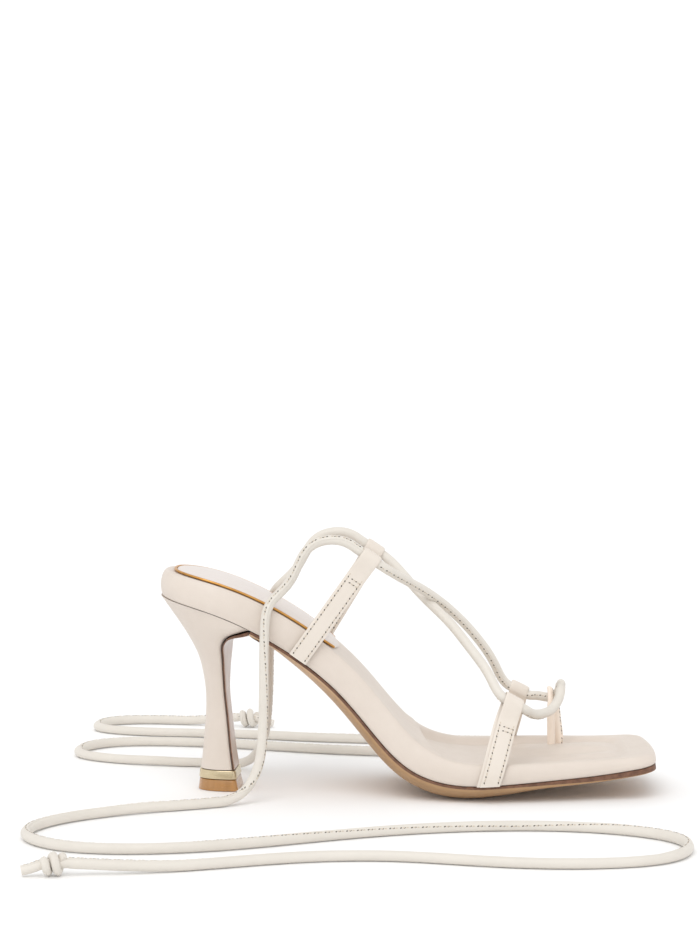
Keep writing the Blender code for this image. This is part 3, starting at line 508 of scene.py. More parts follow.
# %% Ways of the ties
# Points down to the floor, points on it, and where the seam looks at shares of the length
TIES = {
    "lateral": {
        "drop": ((-29.5, -24.0, 114.8), (-44.0, -23.8, 112.6), (-53.5, -23.5, 96.6), (-58.3, -24.0, 91.3),
                 (-61.6, -26.1, 87.8), (-63.5, -28.6, 83.8), (-64.3, -30.0, 77.0), (-64.6, -31.2, 62.0),
                 (-64.8, -32.2, 45.0), (-65.4, -33.6, 28.0), (-67.8, -35.6, 14.5), (-73.0, -39.2, 6.0)),
        "floor": ((-81.6, -44.6), (-106.0, -55.0), (-133.0, -68.0), (-154.0, -87.0), (-161.0, -110.0),
                  (-147.0, -132.0), (-110.0, -140.0), (-72.0, -131.0), (-34.0, -114.0), (6.0, -100.0),
                  (47.0, -95.0), (86.0, -103.0), (110.0, -126.0), (104.0, -152.0), (72.0, -166.0),
                  (30.0, -163.0), (-11.0, -153.0), (-52.0, -157.0), (-94.0, -171.0), (-136.0, -178.0)),
        "facing": ((0.0, (0.3, -1.0, 0.3)), (0.08, (0.4, -1.0, 0.4)), (0.14, (1.0, 0.2, 0.0)),
                   (0.2, (0.2, -0.4, 1.0)), (0.27, (0.6, 0.6, 0.9)), (0.4, (0.0, 1.0, 0.2)),
                   (0.5, (0.0, -0.3, 1.0)), (0.58, (0.0, -0.9, 0.7)), (0.66, (0.5, 0.4, 0.7)),
                   (0.8, (0.0, 1.0, 0.1)), (0.9, (0.0, 0.3, 1.0)), (1.0, (0.0, -0.6, 1.0))),
    },
    "medial": {
        "drop": ((-27.3, 24.0, 113.9), (-41.8, 23.8, 111.7), (-52.0, 23.4, 96.9), (-57.6, 23.7, 91.3),
                 (-61.0, 25.4, 87.5), (-62.9, 27.7, 83.5), (-63.7, 29.1, 77.0), (-64.2, 30.6, 62.0),
                 (-64.6, 32.0, 45.0), (-65.4, 33.6, 28.0), (-67.8, 35.6, 14.5), (-73.0, 39.2, 6.0)),
        "floor": ((-81.6, 44.6), (-108.0, 51.0), (-138.0, 59.0), (-158.0, 77.0), (-150.0, 98.0),
                  (-118.0, 105.0), (-80.0, 97.0), (-40.0, 84.0), (0.0, 76.0), (36.0, 73.5), (62.0, 76.5),
                  (74.0, 82.5), (78.0, 91.5), (74.0, 100.5), (62.0, 106.0), (30.0, 109.0), (-8.0, 111.0),
                  (-45.0, 117.0), (-84.0, 127.0), (-120.0, 132.0), (-143.0, 138.0), (-155.5, 149.0),
                  (-152.0, 162.5), (-136.0, 169.0), (-112.0, 167.0), (-84.0, 161.0)),
        "facing": ((0.0, (0.3, 1.0, -0.4)), (0.12, (0.8, 0.8, 0.2)), (0.2, (0.3, 0.6, 0.9)),
                   (0.35, (0.0, 1.0, 0.3)), (0.55, (0.0, 0.7, 0.7)), (0.72, (0.0, -0.5, 1.0)),
                   (0.85, (0.0, 0.8, 0.6)), (1.0, (0.0, 0.4, 1.0))),
    },
}
FLOOR_Z = 2.25
KNOT_CENTRE_Z = 4.9
# The tie begins just behind the middle of the eye, where the lace ends
EYE_START = -0.2


def tie_points(side):
    """The way of a tie from inside its rear loop to its knot."""
    rear = "strap_rear_" + side
    lying = [(x, y, FLOOR_Z) for x, y in TIES[side]["floor"]]
    lying[-1] = (*lying[-1][:2], KNOT_CENTRE_Z)
    start = -LACE_PAST_EYE - TIE_GAP
    leave = [past_eye(rear, d) for d in (EYE_START, start, start - TIE_STRAIGHT)]
    points = route([*leave, *TIES[side]["drop"], *lying], CORD_STEP)
    points[:, 2] = np.maximum(points[:, 2], FLOOR_Z)
    return points


print("points of the ties:", {side: len(tie_points(side)) for side in TIES})

# %% Ties and their knots
# The end that runs through the knot: distance past the tie's last point, and droop
KNOT_END = ((-2.0, 0.0), (4.0, 0.0), (10.0, 0.2), (14.0, 1.5), (18.4, 2.5))
KNOT_END_RADIUS = 1.95
KNOT_LOOK = (0.0, -0.6, 1.0)
# The turns around it: where they begin, how long they run, their number and their radius
KNOT_START, KNOT_RUN, KNOT_TURNS, KNOT_LIFT = 1.8, 8.2, 2.1, 3.0
KNOT_RADIUS = 1.72
KNOT_SIDES = 14


def knot(name, tip, ahead):
    """A stopper knot: the cord's own end runs through two turns of it and droops to the floor."""
    ahead = unit(ahead * (1, 1, 0))
    aside = np.cross((0, 0, 1), ahead)
    core = route([tip + ahead * u - (0, 0, drop) for u, drop in KNOT_END], 1.0)
    share = np.linspace(0, 1, 64)
    lift = KNOT_LIFT * np.clip(np.sin(share * math.pi) * 3.2, 0.42, 1.0)
    angle = 0.9 + share * 2 * math.pi * KNOT_TURNS
    wrap = tip + np.outer(KNOT_START + KNOT_RUN * share, ahead)
    wrap += np.outer(lift * np.cos(angle), aside) + np.outer(lift * np.sin(angle), (0, 0, 1))
    shape = Shape()
    roll(shape, core, [(0.0, KNOT_LOOK), (1.0, KNOT_LOOK)], radius=KNOT_END_RADIUS)
    look = list(zip(share, unit(wrap - tip - np.outer((wrap - tip) @ ahead, ahead))))
    roll(shape, wrap, look, radius=KNOT_RADIUS, sewn=False, sides=KNOT_SIDES)
    return shape.make(name, [CORD_LEATHER, *SEWN])


for side in TIES:
    way = tie_points(side)
    shape = Shape()
    roll(shape, way, TIES[side]["facing"])
    tie = shape.make("tie_" + side, [CORD_LEATHER, *SEWN])
    stopper = knot("tie_knot_" + side, way[-1], way[-1] - way[-4])

# %% [markdown]
# ## Floor and light
# The picture is high key: a white floor that runs into a white background, and a soft shadow under the
# shoe. The sky is white at the horizon, where the camera sees it, and dimmer overhead, so that the sun
# counts: as wide as a big window, high behind the camera, it shows the roundness of heel and cords.

# %% Floor
FLOOR_RADIUS = 12
FLOOR_LEVEL = -0.0001
FLOOR_SIDES = 48
floor_mesh = bpy.data.meshes.new("floor")
turn = np.arange(FLOOR_SIDES) * 2 * math.pi / FLOOR_SIDES
rim = [(FLOOR_RADIUS * math.cos(a), FLOOR_RADIUS * math.sin(a), FLOOR_LEVEL) for a in turn]
floor_mesh.from_pydata(rim, [], [list(range(FLOOR_SIDES))])
floor = put("floor", floor_mesh)
FLOOR_FINISH = Finish("pale_floor", {"Roughness": 0.7, "Specular IOR Level": 0.2})
speck = FLOOR_FINISH.noise(FLOOR_FINISH.place(), 60.0)
FLOOR_FINISH.feed("Base Color", FLOOR_FINISH.tint(speck, (0.95, 0.95, 0.95), (0.97, 0.97, 0.97)))
floor_mesh.materials.append(FLOOR_FINISH.material)
floor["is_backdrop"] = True
print("floor:", 2 * FLOOR_RADIUS, "m across")

# %% Light
# Strength of the sky near the horizon and overhead, and the heights between which it changes
SKY_WHITE, SKY_OVERHEAD = 1.04, 0.88
SKY_LOW, SKY_HIGH = 0.16, 0.5
SUN_POWER = 0.92
SUN_WIDTH = math.radians(46)
SUN_WAY = (0.14, 0.55, -0.82)

world = bpy.data.worlds.new("studio")
world.use_nodes = True
nodes, links = world.node_tree.nodes, world.node_tree.links
sky = nodes["Background"]
look = nodes.new("ShaderNodeTexCoord")
height = nodes.new("ShaderNodeSeparateXYZ")
fade = nodes.new("ShaderNodeMapRange")
fading = {"From Min": SKY_LOW, "From Max": SKY_HIGH, "To Min": SKY_WHITE, "To Max": SKY_OVERHEAD}
for socket, value in fading.items():
    fade.inputs[socket].default_value = value
links.new(look.outputs["Generated"], height.inputs["Vector"])
links.new(height.outputs["Z"], fade.inputs["Value"])
links.new(fade.outputs["Result"], sky.inputs["Strength"])
sky.inputs["Color"].default_value = (1.0, 1.0, 1.0, 1.0)
bpy.context.scene.world = world
bpy.context.scene.view_settings.view_transform = "Standard"

sun = bpy.data.lights.new("sun", "SUN")
sun.energy = SUN_POWER
sun.angle = SUN_WIDTH
stand = put("sun", sun)
stand.rotation_euler = Vector(SUN_WAY).to_track_quat("-Z", "Y").to_euler()
print("sky:", SKY_WHITE, "to", SKY_OVERHEAD, "sun:", SUN_POWER)

# %% [markdown]
# ## The last
# Footbed, outsole and heel seat all follow the last, the wooden foot that a shoe is built on. Its
# table has one row for each cross section, measured along the feather line where footbed and outsole
# meet. The pieces are drawn flat, as a pattern cutter does, in lengths along that line and across it, and
# then bent up over the arch. A pattern is one ring of points, so an edge can be drawn as a few
# rings, each a little further in and higher than the one before.

# %% The last
LAST_COLUMNS = ("x", "z", "thick", "lateral", "medial", "hollow", "belly", "edge")
LAST_ROWS = (
    (-112.2, 89.2, 11.4, 27.0, 27.0, 0.0, 0.0, 1.1),
    (-90.4, 83.5, 12.3, 27.2, 27.0, 0.0, 0.0, 1.1),
    (-71.0, 75.2, 12.6, 26.8, 26.2, 0.0, 0.4, 1.2),
    (-52.0, 64.0, 12.4, 26.3, 24.9, 0.0, 2.4, 1.9),
    (-31.0, 46.6, 12.0, 26.9, 24.6, 0.0, 3.7, 2.4),
    (-14.0, 26.9, 11.7, 29.6, 27.3, 1.2, 3.8, 2.6),
    (0.0, 14.0, 11.7, 33.3, 31.8, 2.4, 4.7, 2.7),
    (17.0, 8.2, 10.4, 37.3, 37.0, 2.6, 5.6, 2.7),
    (36.0, 7.8, 9.1, 39.0, 39.8, 2.4, 4.6, 2.7),
    (60.0, 9.6, 8.0, 37.4, 38.6, 2.2, 1.9, 2.7),
    (86.0, 11.7, 6.6, 33.0, 34.0, 1.4, 0.5, 2.7),
    (110.6, 15.3, 4.6, 29.8, 30.4, 0.0, 0.0, 2.6),
)
HEEL_ROUND = 27.0
HEEL_LEAN = 2.6
# Clearance between pieces that touch
GAP = 0.3


class Last:
    """Sole coordinates: s along the feather line from heel to toe, y across, h square to the line."""

    def __init__(self):
        table = np.array(LAST_ROWS)
        knots = reach(table[:, :2])
        self.length = knots[-1]
        self.line = Smooth(knots, table[:, :2])
        self.columns = {name: Smooth(knots, table[:, i]) for i, name in enumerate(LAST_COLUMNS)}

    def value(self, name, s):
        return self.columns[name](np.clip(s, 0.0, self.length))

    def bend(self, s, y, h):
        """Sole coordinates to the shoe's own x, y and z."""
        s, y, h = (np.atleast_1d(v).astype(float) for v in np.broadcast_arrays(s, y, h))
        point = self.line(s)
        ahead = unit(self.line(s + 0.5) - self.line(s - 0.5))
        return np.stack([point[:, 0] - h * ahead[:, 1], y, point[:, 1] + h * ahead[:, 0]], axis=1)

    def bed(self, s, y, h):
        """The same for the footbed, whose back stands upright."""
        lean = HEEL_LEAN * np.maximum(1 - s / HEEL_ROUND, 0.0) * np.clip(h / self.value("thick", s), 0.0, 1.0)
        return self.bend(s - lean, y, h)

    def at_x(self, x):
        s = np.linspace(0, self.length, 2000)
        return float(np.interp(x, self.line(s)[:, 0], s))

    def half_width(self, side, s):
        return self.value("lateral" if side < 0 else "medial", s)


LAST = Last()
print("feather line:", round(LAST.length, 1), "mm")

# %% Patterns
HEEL_SQUARENESS = 2.3
TOE_CORNER = 9.5
TOE_BOW = 1.2
# Part of the round heel, in its own angle, that belongs to the pattern's back edge
BACK_SPLIT = math.radians(38)


def corner(width, end, direction, deep, inwards, power, angles):
    """A rounded corner of a pattern, from its end edge (angle 0) to its side."""
    s = end + direction * deep * (1 - np.maximum(np.cos(angles), 0.0) ** (2 / power))
    wide = width(s)
    round_by = wide if inwards is None else inwards
    return np.stack([s, wide - round_by + round_by * np.sin(angles) ** (2 / power)], axis=1)


class Pattern:
    """A flat pattern as one ring: the lateral side, the front edge, the medial side and the back edge."""

    def __init__(self, last, back, front, stations=110, across=31, skew=0.0, turns=14):
        flanks = {}
        for side in (-1, 1):
            def width(s, side=side):
                return last.half_width(side, s)

            end = back[0] + skew * side * float(width(back[0])[0])
            low = BACK_SPLIT if back[2] is None else 0.0
            rear = corner(width, end, 1, *back[1:], np.linspace(low, math.pi / 2, turns))
            nose = corner(width, front[0], -1, *front[1:], np.linspace(math.pi / 2, 0.0, turns))
            run = np.linspace(rear[-1, 0], nose[0, 0], stations - 2 * turns + 2)[1:-1]
            flank = np.concatenate([rear, np.stack([run, width(run)], axis=1), nose])
            flanks[side] = flank * (1, side)
        self.shares = np.linspace(-1, 1, across + 2)[1:-1]
        if back[2] is None:
            ends = []
            for share in self.shares:
                side = -1 if share < 0 else 1
                angle = np.array([abs(share) * BACK_SPLIT])
                one = corner(lambda s: last.half_width(side, s), back[0], 1, *back[1:], angle)[0]
                ends.append(one * (1, side))
        else:
            ends = self.between(flanks[-1][0], flanks[1][0])
        bow = self.between(flanks[-1][-1], flanks[1][-1])
        bow[:, 0] += TOE_BOW * (1 - self.shares**2)
        self.ring = np.concatenate([flanks[-1], bow, flanks[1][::-1], np.array(ends)[::-1]])
        count = len(self.ring)
        self.lateral = np.arange(stations)
        self.front = stations + np.arange(across)
        self.medial = 2 * stations + across - 1 - np.arange(stations)
        self.back = count - 1 - np.arange(across)

    def between(self, first, second):
        return first + (second - first) * (self.shares[:, None] + 1) / 2

    def inset(self, distance):
        """The ring moved inwards."""
        ahead = unit(np.roll(self.ring, -1, axis=0) - np.roll(self.ring, 1, axis=0))
        return self.ring + distance * np.stack([-ahead[:, 1], ahead[:, 0]], axis=1)

    def on_bed(self, shape, inset, lift):
        """The ring moved inwards and raised over the footbed's board; lift turns s and y into heights."""
        s, y = self.inset(inset).T
        return shape.add(LAST.bed(s, y, lift(s, y)))

    def fill(self, shape, ring, flat, lift, finish=0):
        """A grid inside a ring; lift turns s, y and the share across into points."""
        rows = []
        for i, (left, right) in enumerate(zip(self.lateral, self.medial)):
            if i == 0:
                middle = ring[self.back]
            elif i == len(self.lateral) - 1:
                middle = ring[self.front]
            else:
                spots = self.between(flat[left], flat[right])
                middle = shape.add(lift(spots[:, 0], spots[:, 1], self.shares))
            rows.append([ring[left], *middle, ring[right]])
        shape.skin(rows, finish=finish)


# Each end of a pattern: place, how deep its corners are, how far in they reach, and their squareness
SOLE_ENDS = (0.0, HEEL_ROUND, None, HEEL_SQUARENESS), (LAST.length, TOE_CORNER, TOE_CORNER, 2.0)
print("ends of the sole:", [round(end[0], 1) for end in SOLE_ENDS])

# %% [markdown]
# ## The footbed
# The footbed is a board with a layer of foam, wrapped in the cover leather. The foam is moulded: a
# cushion under the arch ends in a curved lip, and in front of it lies the hollow for the ball of the
# foot, with a low ridge between the big toe and the others and a crease all round. The relief is a
# height over the flat pattern, so the leather stays one skin; sculpting would not give named sizes.

# %% Relief of the footbed
COVER_LEATHER = leather("cover_leather", (227, 216, 206), (209, 197, 185), 0.62, 0.44)

# Rings from the feather line over the rim: inset and share of the thickness; then insets only
FOOTBED_EDGE = ((0.9, 0.0), (0.55, 0.05), (0.2, 0.16), (0.03, 0.29), (0.0, 0.40), (0.16, 0.54), (0.5, 0.68),
                (0.9, 0.79), (1.4, 0.88), (2.0, 0.95), (2.8, 1.0))
FOOTBED_SLOPE = (3.8, 4.8, 5.8, 6.8, 7.8, 8.8, 10.2)
# Where the hollow begins behind the ball of the foot: places across the shoe, then x
HOLLOW_BACK = Smooth((-40.0, -31.0, -9.0, 22.0, 40.0), (16.5, 12.4, 5.9, 0.6, -2.0))
HOLLOW_FRONT = 96.0
HOLLOW_INSET = 9.2
HOLLOW_ROUND = 4.0
HOLLOW_WALL = 4.0
HOLLOW_DEEPER = 1.05
CREASE = 0.9
LIP = 0.9
WAVE = 0.14
# Swellings and dips: height, then middle, width and power of a bell across the shoe and of one along it
RIDGE = (2.9, (5.5, 8.5, 4), (72.0, 20.0, 4))
TOE_REST = (0.9, (-12.0, 5.0, 2), (82.0, 11.0, 4))
VALLEY = (1.2, (-22.0, 9.0, 2), (58.0, 26.0, 4))


def ease(value):
    """A smooth step from 0 to 1."""
    value = np.clip(value, 0.0, 1.0)
    return value * value * (3 - 2 * value)


def bell(value, middle, width, power=2):
    return np.exp(-np.abs((value - middle) / width) ** power)


def swelling(x, y, height, across, along):
    return height * bell(y, *across) * bell(x, *along)


def bed_height(s, y, inside):
    """Height of the padded top; inside is the distance from the edge."""
    x = LAST.line(s)[:, 0]
    into = x - HOLLOW_BACK(y)
    walls = np.stack(np.broadcast_arrays(inside - HOLLOW_INSET, HOLLOW_FRONT - x, into))
    within = -HOLLOW_ROUND * np.log(np.exp(-walls / HOLLOW_ROUND).sum(axis=0))
    basin = ease(within / HOLLOW_WALL + 1.0)
    crease = CREASE * bell(within, 0.6, 1.8)
    lip = LIP * bell(into, -6.5, 4.0) * ease((inside - 2.5) / 5.0) * ease((x + 30) / 25)
    ridge, toes, valley = (swelling(x, y, *one) for one in (RIDGE, TOE_REST, VALLEY))
    waves = WAVE * np.sin(s / 7.3 + 0.08 * y) * np.sin(y / 6.1 + 0.6) * ease((inside - 1.5) / 6)
    hollow = HOLLOW_DEEPER * np.maximum(LAST.value("hollow", s), 0.0)
    return LAST.value("thick", s) - (hollow + valley - ridge - toes) * basin - crease + lip + waves


print("ridge:", RIDGE[0], "mm high, valley:", VALLEY[0], "mm deep")

# %% Footbed
pattern = Pattern(LAST, *SOLE_ENDS, stations=180, across=49)
deepest = FOOTBED_SLOPE[-1]


def bed_lift(s, y, share):
    """Points of the padded top; share runs from -1 to 1 across the last ring."""
    wide = LAST.half_width(-1, s) - deepest
    return LAST.bed(s, y, bed_height(s, y, deepest + wide * (1 - np.abs(share))))


shape = Shape()
rings = [pattern.on_bed(shape, inset, lambda s, y: share * LAST.value("thick", s))
         for inset, share in FOOTBED_EDGE]
rings += [pattern.on_bed(shape, inset, lambda s, y: bed_height(s, y, inset)) for inset in FOOTBED_SLOPE]
shape.skin(rings, wrap=True)
base = pattern.inset(FOOTBED_EDGE[0][0])
pattern.fill(shape, rings[0], base, lambda s, y, share: LAST.bed(s, y, np.zeros(len(s))))
pattern.fill(shape, rings[-1], pattern.inset(deepest), bed_lift)
footbed = shape.make("footbed", [COVER_LEATHER], sharp=60)

# %% [markdown]
# ## The outsole
# A thin moulded sole runs from the breast of the heel to the toe. Its edge is inked dark brown and
# its underside is tan, deepened a little under the tread as painted shade and painted paler at the
# waist as painted light bounced up from the floor, so it gets two finishes: the faces of the edge rings
# take the first and all below them the second. The waist is bellied, and the tread is flat where it
# stands on the floor. The sheet on the heel's front, made further on, is the same stuff, but lacquered.

# %% Outsole finishes
SOLE_INK = Finish("sole_ink", {"Specular IOR Level": 0.4})
place = SOLE_INK.place()
rub = SOLE_INK.noise(place, 2.6, detail=5.0, roughness=0.65)
SOLE_INK.paint(SOLE_INK.clamp(rub, 0.35, 0.75), (92, 62, 47), (136, 98, 75))
SOLE_INK.feed("Roughness", 0.42 + rub * 0.2)
SOLE_INK.relief(rub, 0.06)

# The x where the painted light of the floor's bounce begins to make the waist paler, and where it is full
BOUNCE_LIGHT_X = (-18.0, -46.0)
SOLE_TAN = Finish("sole_tan_painted_light", {"Specular IOR Level": 0.45})
place = SOLE_TAN.place()
cloud = SOLE_TAN.noise(place, 18.0, detail=4.0)
crumb = SOLE_TAN.noise(place, 0.5, detail=2.0)
brush = SOLE_TAN.noise(SOLE_TAN.place((0.03, 1.0, 0.3)), 0.7, detail=3.0)
# Painted light: towards the waist the tan is painted paler, standing in for light bounced up from the floor
# under the arch; the tread's tan is set a little deeper as painted shade near the floor.
waist = SOLE_TAN.clamp(SOLE_TAN.node("ShaderNodeSeparateXYZ", None, {0: place}), *BOUNCE_LIGHT_X)
streak = cloud * 0.6 + brush * 0.4
tread_tan_and_shade = SOLE_TAN.tint(streak, tone(188, 151, 111), tone(152, 120, 86))
waist_tan_painted_light = SOLE_TAN.tint(streak, tone(214, 180, 146), tone(180, 148, 116))
SOLE_TAN.feed("Base Color", SOLE_TAN.tint(waist, tread_tan_and_shade, waist_tan_painted_light))
SOLE_TAN.feed("Roughness", 0.34 + cloud * 0.14 + crumb * 0.08)
SOLE_TAN.relief(crumb * 0.6 + brush * 0.5, 0.04)

BREAST_TAN = Finish("breast_tan", {"Coat Weight": 0.6, "Coat Roughness": 0.18})
cloud = BREAST_TAN.noise(BREAST_TAN.place(), 9.0, detail=4.0)
BREAST_TAN.paint(cloud, (196, 168, 150), (166, 136, 118))
BREAST_TAN.feed("Roughness", 0.36 + cloud * 0.14)
BREAST_TAN.relief(BREAST_TAN.noise(BREAST_TAN.place(), 0.5), 0.03)
print("outsole finishes ready")

# %% Outsole
HEEL_SEAT_FRONT_X = -68.9
BREAST_SKEW = math.tan(math.radians(4.9))
OUTSOLE_CORNER = 1.2
ARCH_FILL = 0.8
INK_AT_BREAST = 1.1
INK_AT_TOE = 2.2
# Inset, then the shares of the inked height, of the rest of the edge and of the belly, from the top down
OUTSOLE_EDGE = ((0.9, 0.0, 0.0, 0.0), (0.62, 0.12, 0.0, 0.0), (0.55, 0.5, 0.0, 0.0), (0.58, 1.0, 0.0, 0.0),
                (0.66, 1.0, 0.35, 0.0), (0.82, 1.0, 0.7, 0.0), (1.15, 1.0, 0.92, 0.0), (1.8, 1.0, 0.99, 0.08),
                (3.0, 1.0, 1.0, 0.24), (5.0, 1.0, 1.0, 0.44), (7.0, 1.0, 1.0, 0.62))
INKED_RINGS = 4


def sole_under(s, y, ink, rest, belly):
    """A point of the outsole, kept from reaching below the floor."""
    inked = INK_AT_BREAST + (INK_AT_TOE - INK_AT_BREAST) * ease((LAST.line(s)[:, 0] - 40) / 60)
    drop = GAP + inked * ink + (LAST.value("edge", s) - inked + ARCH_FILL * ease(1 - (s - seat_s) / 9)) * rest
    drop = drop + np.maximum(LAST.value("belly", s), 0.0) * belly
    points = LAST.bend(s, y, -drop)
    points[:, 2] = np.maximum(points[:, 2], 0.0)
    return points


seat_s = LAST.at_x(HEEL_SEAT_FRONT_X)
sole_back = (seat_s - GAP, OUTSOLE_CORNER, OUTSOLE_CORNER, 2.0)
pattern = Pattern(LAST, sole_back, SOLE_ENDS[1], skew=BREAST_SKEW)
deep = OUTSOLE_EDGE[-1][3]


def tread(s, y, share):
    """Points of the underside; share runs from -1 to 1 across the last ring."""
    return sole_under(s, y, 1.0, 1.0, deep + (1 - deep) * (1 - share**2))


shape = Shape()
rings = [shape.add(sole_under(*pattern.inset(inset).T, *shares)) for inset, *shares in OUTSOLE_EDGE]
shape.skin(rings[:INKED_RINGS], wrap=True)
shape.skin(rings[INKED_RINGS - 1:], wrap=True, finish=1)
upper = pattern.inset(OUTSOLE_EDGE[0][0])
pattern.fill(shape, rings[0], upper, lambda s, y, share: sole_under(s, y, 0.0, 0.0, 0.0))
pattern.fill(shape, rings[-1], pattern.inset(OUTSOLE_EDGE[-1][0]), tread, 1)
shape.make("outsole", [SOLE_INK, SOLE_TAN])

# %% [markdown]
# ## The heel sock and its piping
# A soft pad covers the heel seat and the waist, in paler pearly leather, with a gilt piping around it.
# It is crowned, because the foam under it pushes up in the middle while the edge is glued down. The
# piping is a thin round cord, so a small ring of points follows the pad's edge, from one front corner
# round the heel to the other.

# %% Heel sock
SOCK_LEATHER = leather("sock_leather", (231, 223, 218), (219, 209, 202), 0.5, 0.36)
GILT = Finish("gilt_foil", {"Metallic": 1.0})
place = GILT.place()
worn = GILT.noise(place, 3.2, detail=4.0)
GILT.paint(worn, (226, 176, 104), (186, 128, 62))
GILT.feed("Roughness", 0.2 + worn * 0.25)
GILT.relief(GILT.noise(place, 0.6), 0.03)

SOCK_INSET = 4.6
SOCK_BACK = 2.2
SOCK_CROWN = 0.9
SOCK_FRONT_X = -37.5
SOCK_FRONT_ROUND = 16.0
# Inset from the pad's edge and height over the footbed
SOCK_EDGE = ((0.0, 0.3), (-0.05, 0.6), (0.0, 0.95), (0.25, 1.25), (0.7, 1.45), (1.6, 1.6), (3.2, 1.72),
             (5.5, 1.86))

sock_back = (SOCK_BACK, *SOLE_ENDS[0][1:])
sock_front = (LAST.at_x(SOCK_FRONT_X), SOCK_FRONT_ROUND, SOCK_FRONT_ROUND, 2.0)
pattern = Pattern(LAST, sock_back, sock_front, stations=70, across=23)


def pad_under(s, y, share):
    return LAST.bed(s, y, LAST.value("thick", s) + SOCK_EDGE[0][1])


def pad_top(s, y, share):
    """The crowned top, with the slight unevenness of foam."""
    crown = SOCK_EDGE[-1][1] + SOCK_CROWN * (1 - share**2) + 0.06 * np.sin(s / 6.0) * np.cos(y / 5.0)
    return LAST.bed(s, y, LAST.value("thick", s) + crown)


shape = Shape()
rings = [pattern.on_bed(shape, SOCK_INSET + inset, lambda s, y: LAST.value("thick", s) + height)
         for inset, height in SOCK_EDGE]
shape.skin(rings, wrap=True)
pattern.fill(shape, rings[0], pattern.inset(SOCK_INSET + SOCK_EDGE[0][0]), pad_under)
pattern.fill(shape, rings[-1], pattern.inset(SOCK_INSET + SOCK_EDGE[-1][0]), pad_top)
sock = shape.make("heel_sock", [SOCK_LEATHER], sharp=60)

# %% Gilt piping
PIPING_RADIUS = 0.55
PIPING_HEIGHT = 0.85
PIPING_CLEAR = 0.2
PIPING_SIDES = 10
# Points of the pattern's flank, at its front corner, that the piping doesn't reach
PIPING_STOP = 5
medial, lateral = pattern.medial[-PIPING_STOP - 1::-1], pattern.lateral[:-PIPING_STOP]
way = np.concatenate([medial, pattern.back[::-1], lateral])
shape = Shape()
rings = []
for angle in np.arange(PIPING_SIDES) * 2 * math.pi / PIPING_SIDES:
    inset = SOCK_INSET - PIPING_CLEAR - PIPING_RADIUS + PIPING_RADIUS * math.cos(angle)
    s, y = pattern.inset(inset)[way].T
    height = LAST.value("thick", s) + PIPING_HEIGHT + PIPING_RADIUS * math.sin(angle)
    rings.append(shape.add(LAST.bed(s, y, height)))
shape.skin([*rings, rings[0]])
for end in (0, -1):
    shape.face([ring[end] for ring in rings])
shape.make("sock_piping", [GILT])

# %% [markdown]
# ## The heel
# The heel is a moulded core, covered in the same leather: wide at the seat, slim at the waist and wider
# again at the foot, with a flat front. Each section is a D. The table's sections are joined point by
# point with smooth curves, from the seat, which has the footbed's own outline, down to the metal
# band; then neighbouring points are averaged a little, because leather never folds to a knife edge.

# %% Heel sections
HEEL_ROWS = (
    # back x, back z, front x, front z, half width, middle y
    (-110.3, 86.0, -74.7, 73.2, 25.0, 0.0),
    (-106.4, 80.4, -79.9, 71.0, 22.4, 0.0),
    (-101.9, 73.8, -82.4, 66.6, 19.1, -0.1),
    (-98.1, 67.3, -82.7, 61.8, 15.8, -0.2),
    (-95.1, 60.6, -82.9, 56.6, 12.7, -0.3),
    (-93.2, 53.0, -83.0, 51.0, 9.9, -0.4),
    (-92.1, 45.0, -82.9, 44.5, 7.9, -0.5),
    (-92.0, 36.0, -82.1, 36.0, 7.3, -0.6),
    (-92.6, 27.0, -81.2, 27.0, 7.7, -0.8),
    (-93.4, 18.0, -80.2, 18.0, 8.5, -0.9),
    (-94.3, 9.7, -79.0, 9.7, 9.4, -1.0),
)
HEEL_D = 2.3
HEEL_STATIONS = 72
HEEL_SEAT_BACK = 0.3
HEEL_SEAT_INSET = 0.9
D_TURN = np.linspace(0.0, math.pi, 65)
D_DEPTH = np.abs(np.sin(D_TURN)) ** (2 / HEEL_D)
D_ACROSS = -np.sign(np.cos(D_TURN)) * np.abs(np.cos(D_TURN)) ** (2 / HEEL_D)
BREAST_SHARES = np.linspace(1, -1, 17)[1:-1]


def d_section(back_x, back_z, front_x, front_z, half_width, middle_y):
    """A D: round flanks and back, and a flat skewed front."""
    across = np.concatenate([D_ACROSS, BREAST_SHARES])
    depth = np.concatenate([D_DEPTH, np.zeros(len(BREAST_SHARES))])
    y = half_width * across
    x = front_x + (back_x - front_x) * depth + BREAST_SKEW * y * (1 - depth)
    return np.stack([x, y + middle_y, front_z + (back_z - front_z) * depth], axis=1)


def heel_seat():
    """The heel's upper face, cut from the footbed's outline just below the feather line."""
    side = np.where(D_TURN < math.pi / 2, -1, 1)
    wide = np.array([float(LAST.half_width(one, seat_s)[0]) - HEEL_SEAT_INSET for one in side])
    s = seat_s + (HEEL_SEAT_BACK - seat_s) * D_DEPTH + BREAST_SKEW * side * wide * (1 - D_DEPTH)
    share = np.clip(1 - s / HEEL_ROUND, 0.0, 1.0)
    round_in = (1 - share**HEEL_SQUARENESS) ** (1 / HEEL_SQUARENESS)
    full = np.where(side < 0, LAST.half_width(-1, s), LAST.half_width(1, s))
    y = side * np.clip(full * round_in - HEEL_SEAT_INSET, 0.0, wide)
    y[len(y) // 2] = 0.0
    front_y = BREAST_SHARES * wide[-1]
    s = np.concatenate([s, seat_s + BREAST_SKEW * front_y])
    return LAST.bend(s, np.concatenate([y, front_y]), -GAP)


def soften(ring, times):
    """A closed ring with its corners rounded by averaging neighbours."""
    for _ in range(times):
        ring = (np.roll(ring, 1, axis=0) + 2 * ring + np.roll(ring, -1, axis=0)) / 4
    return ring


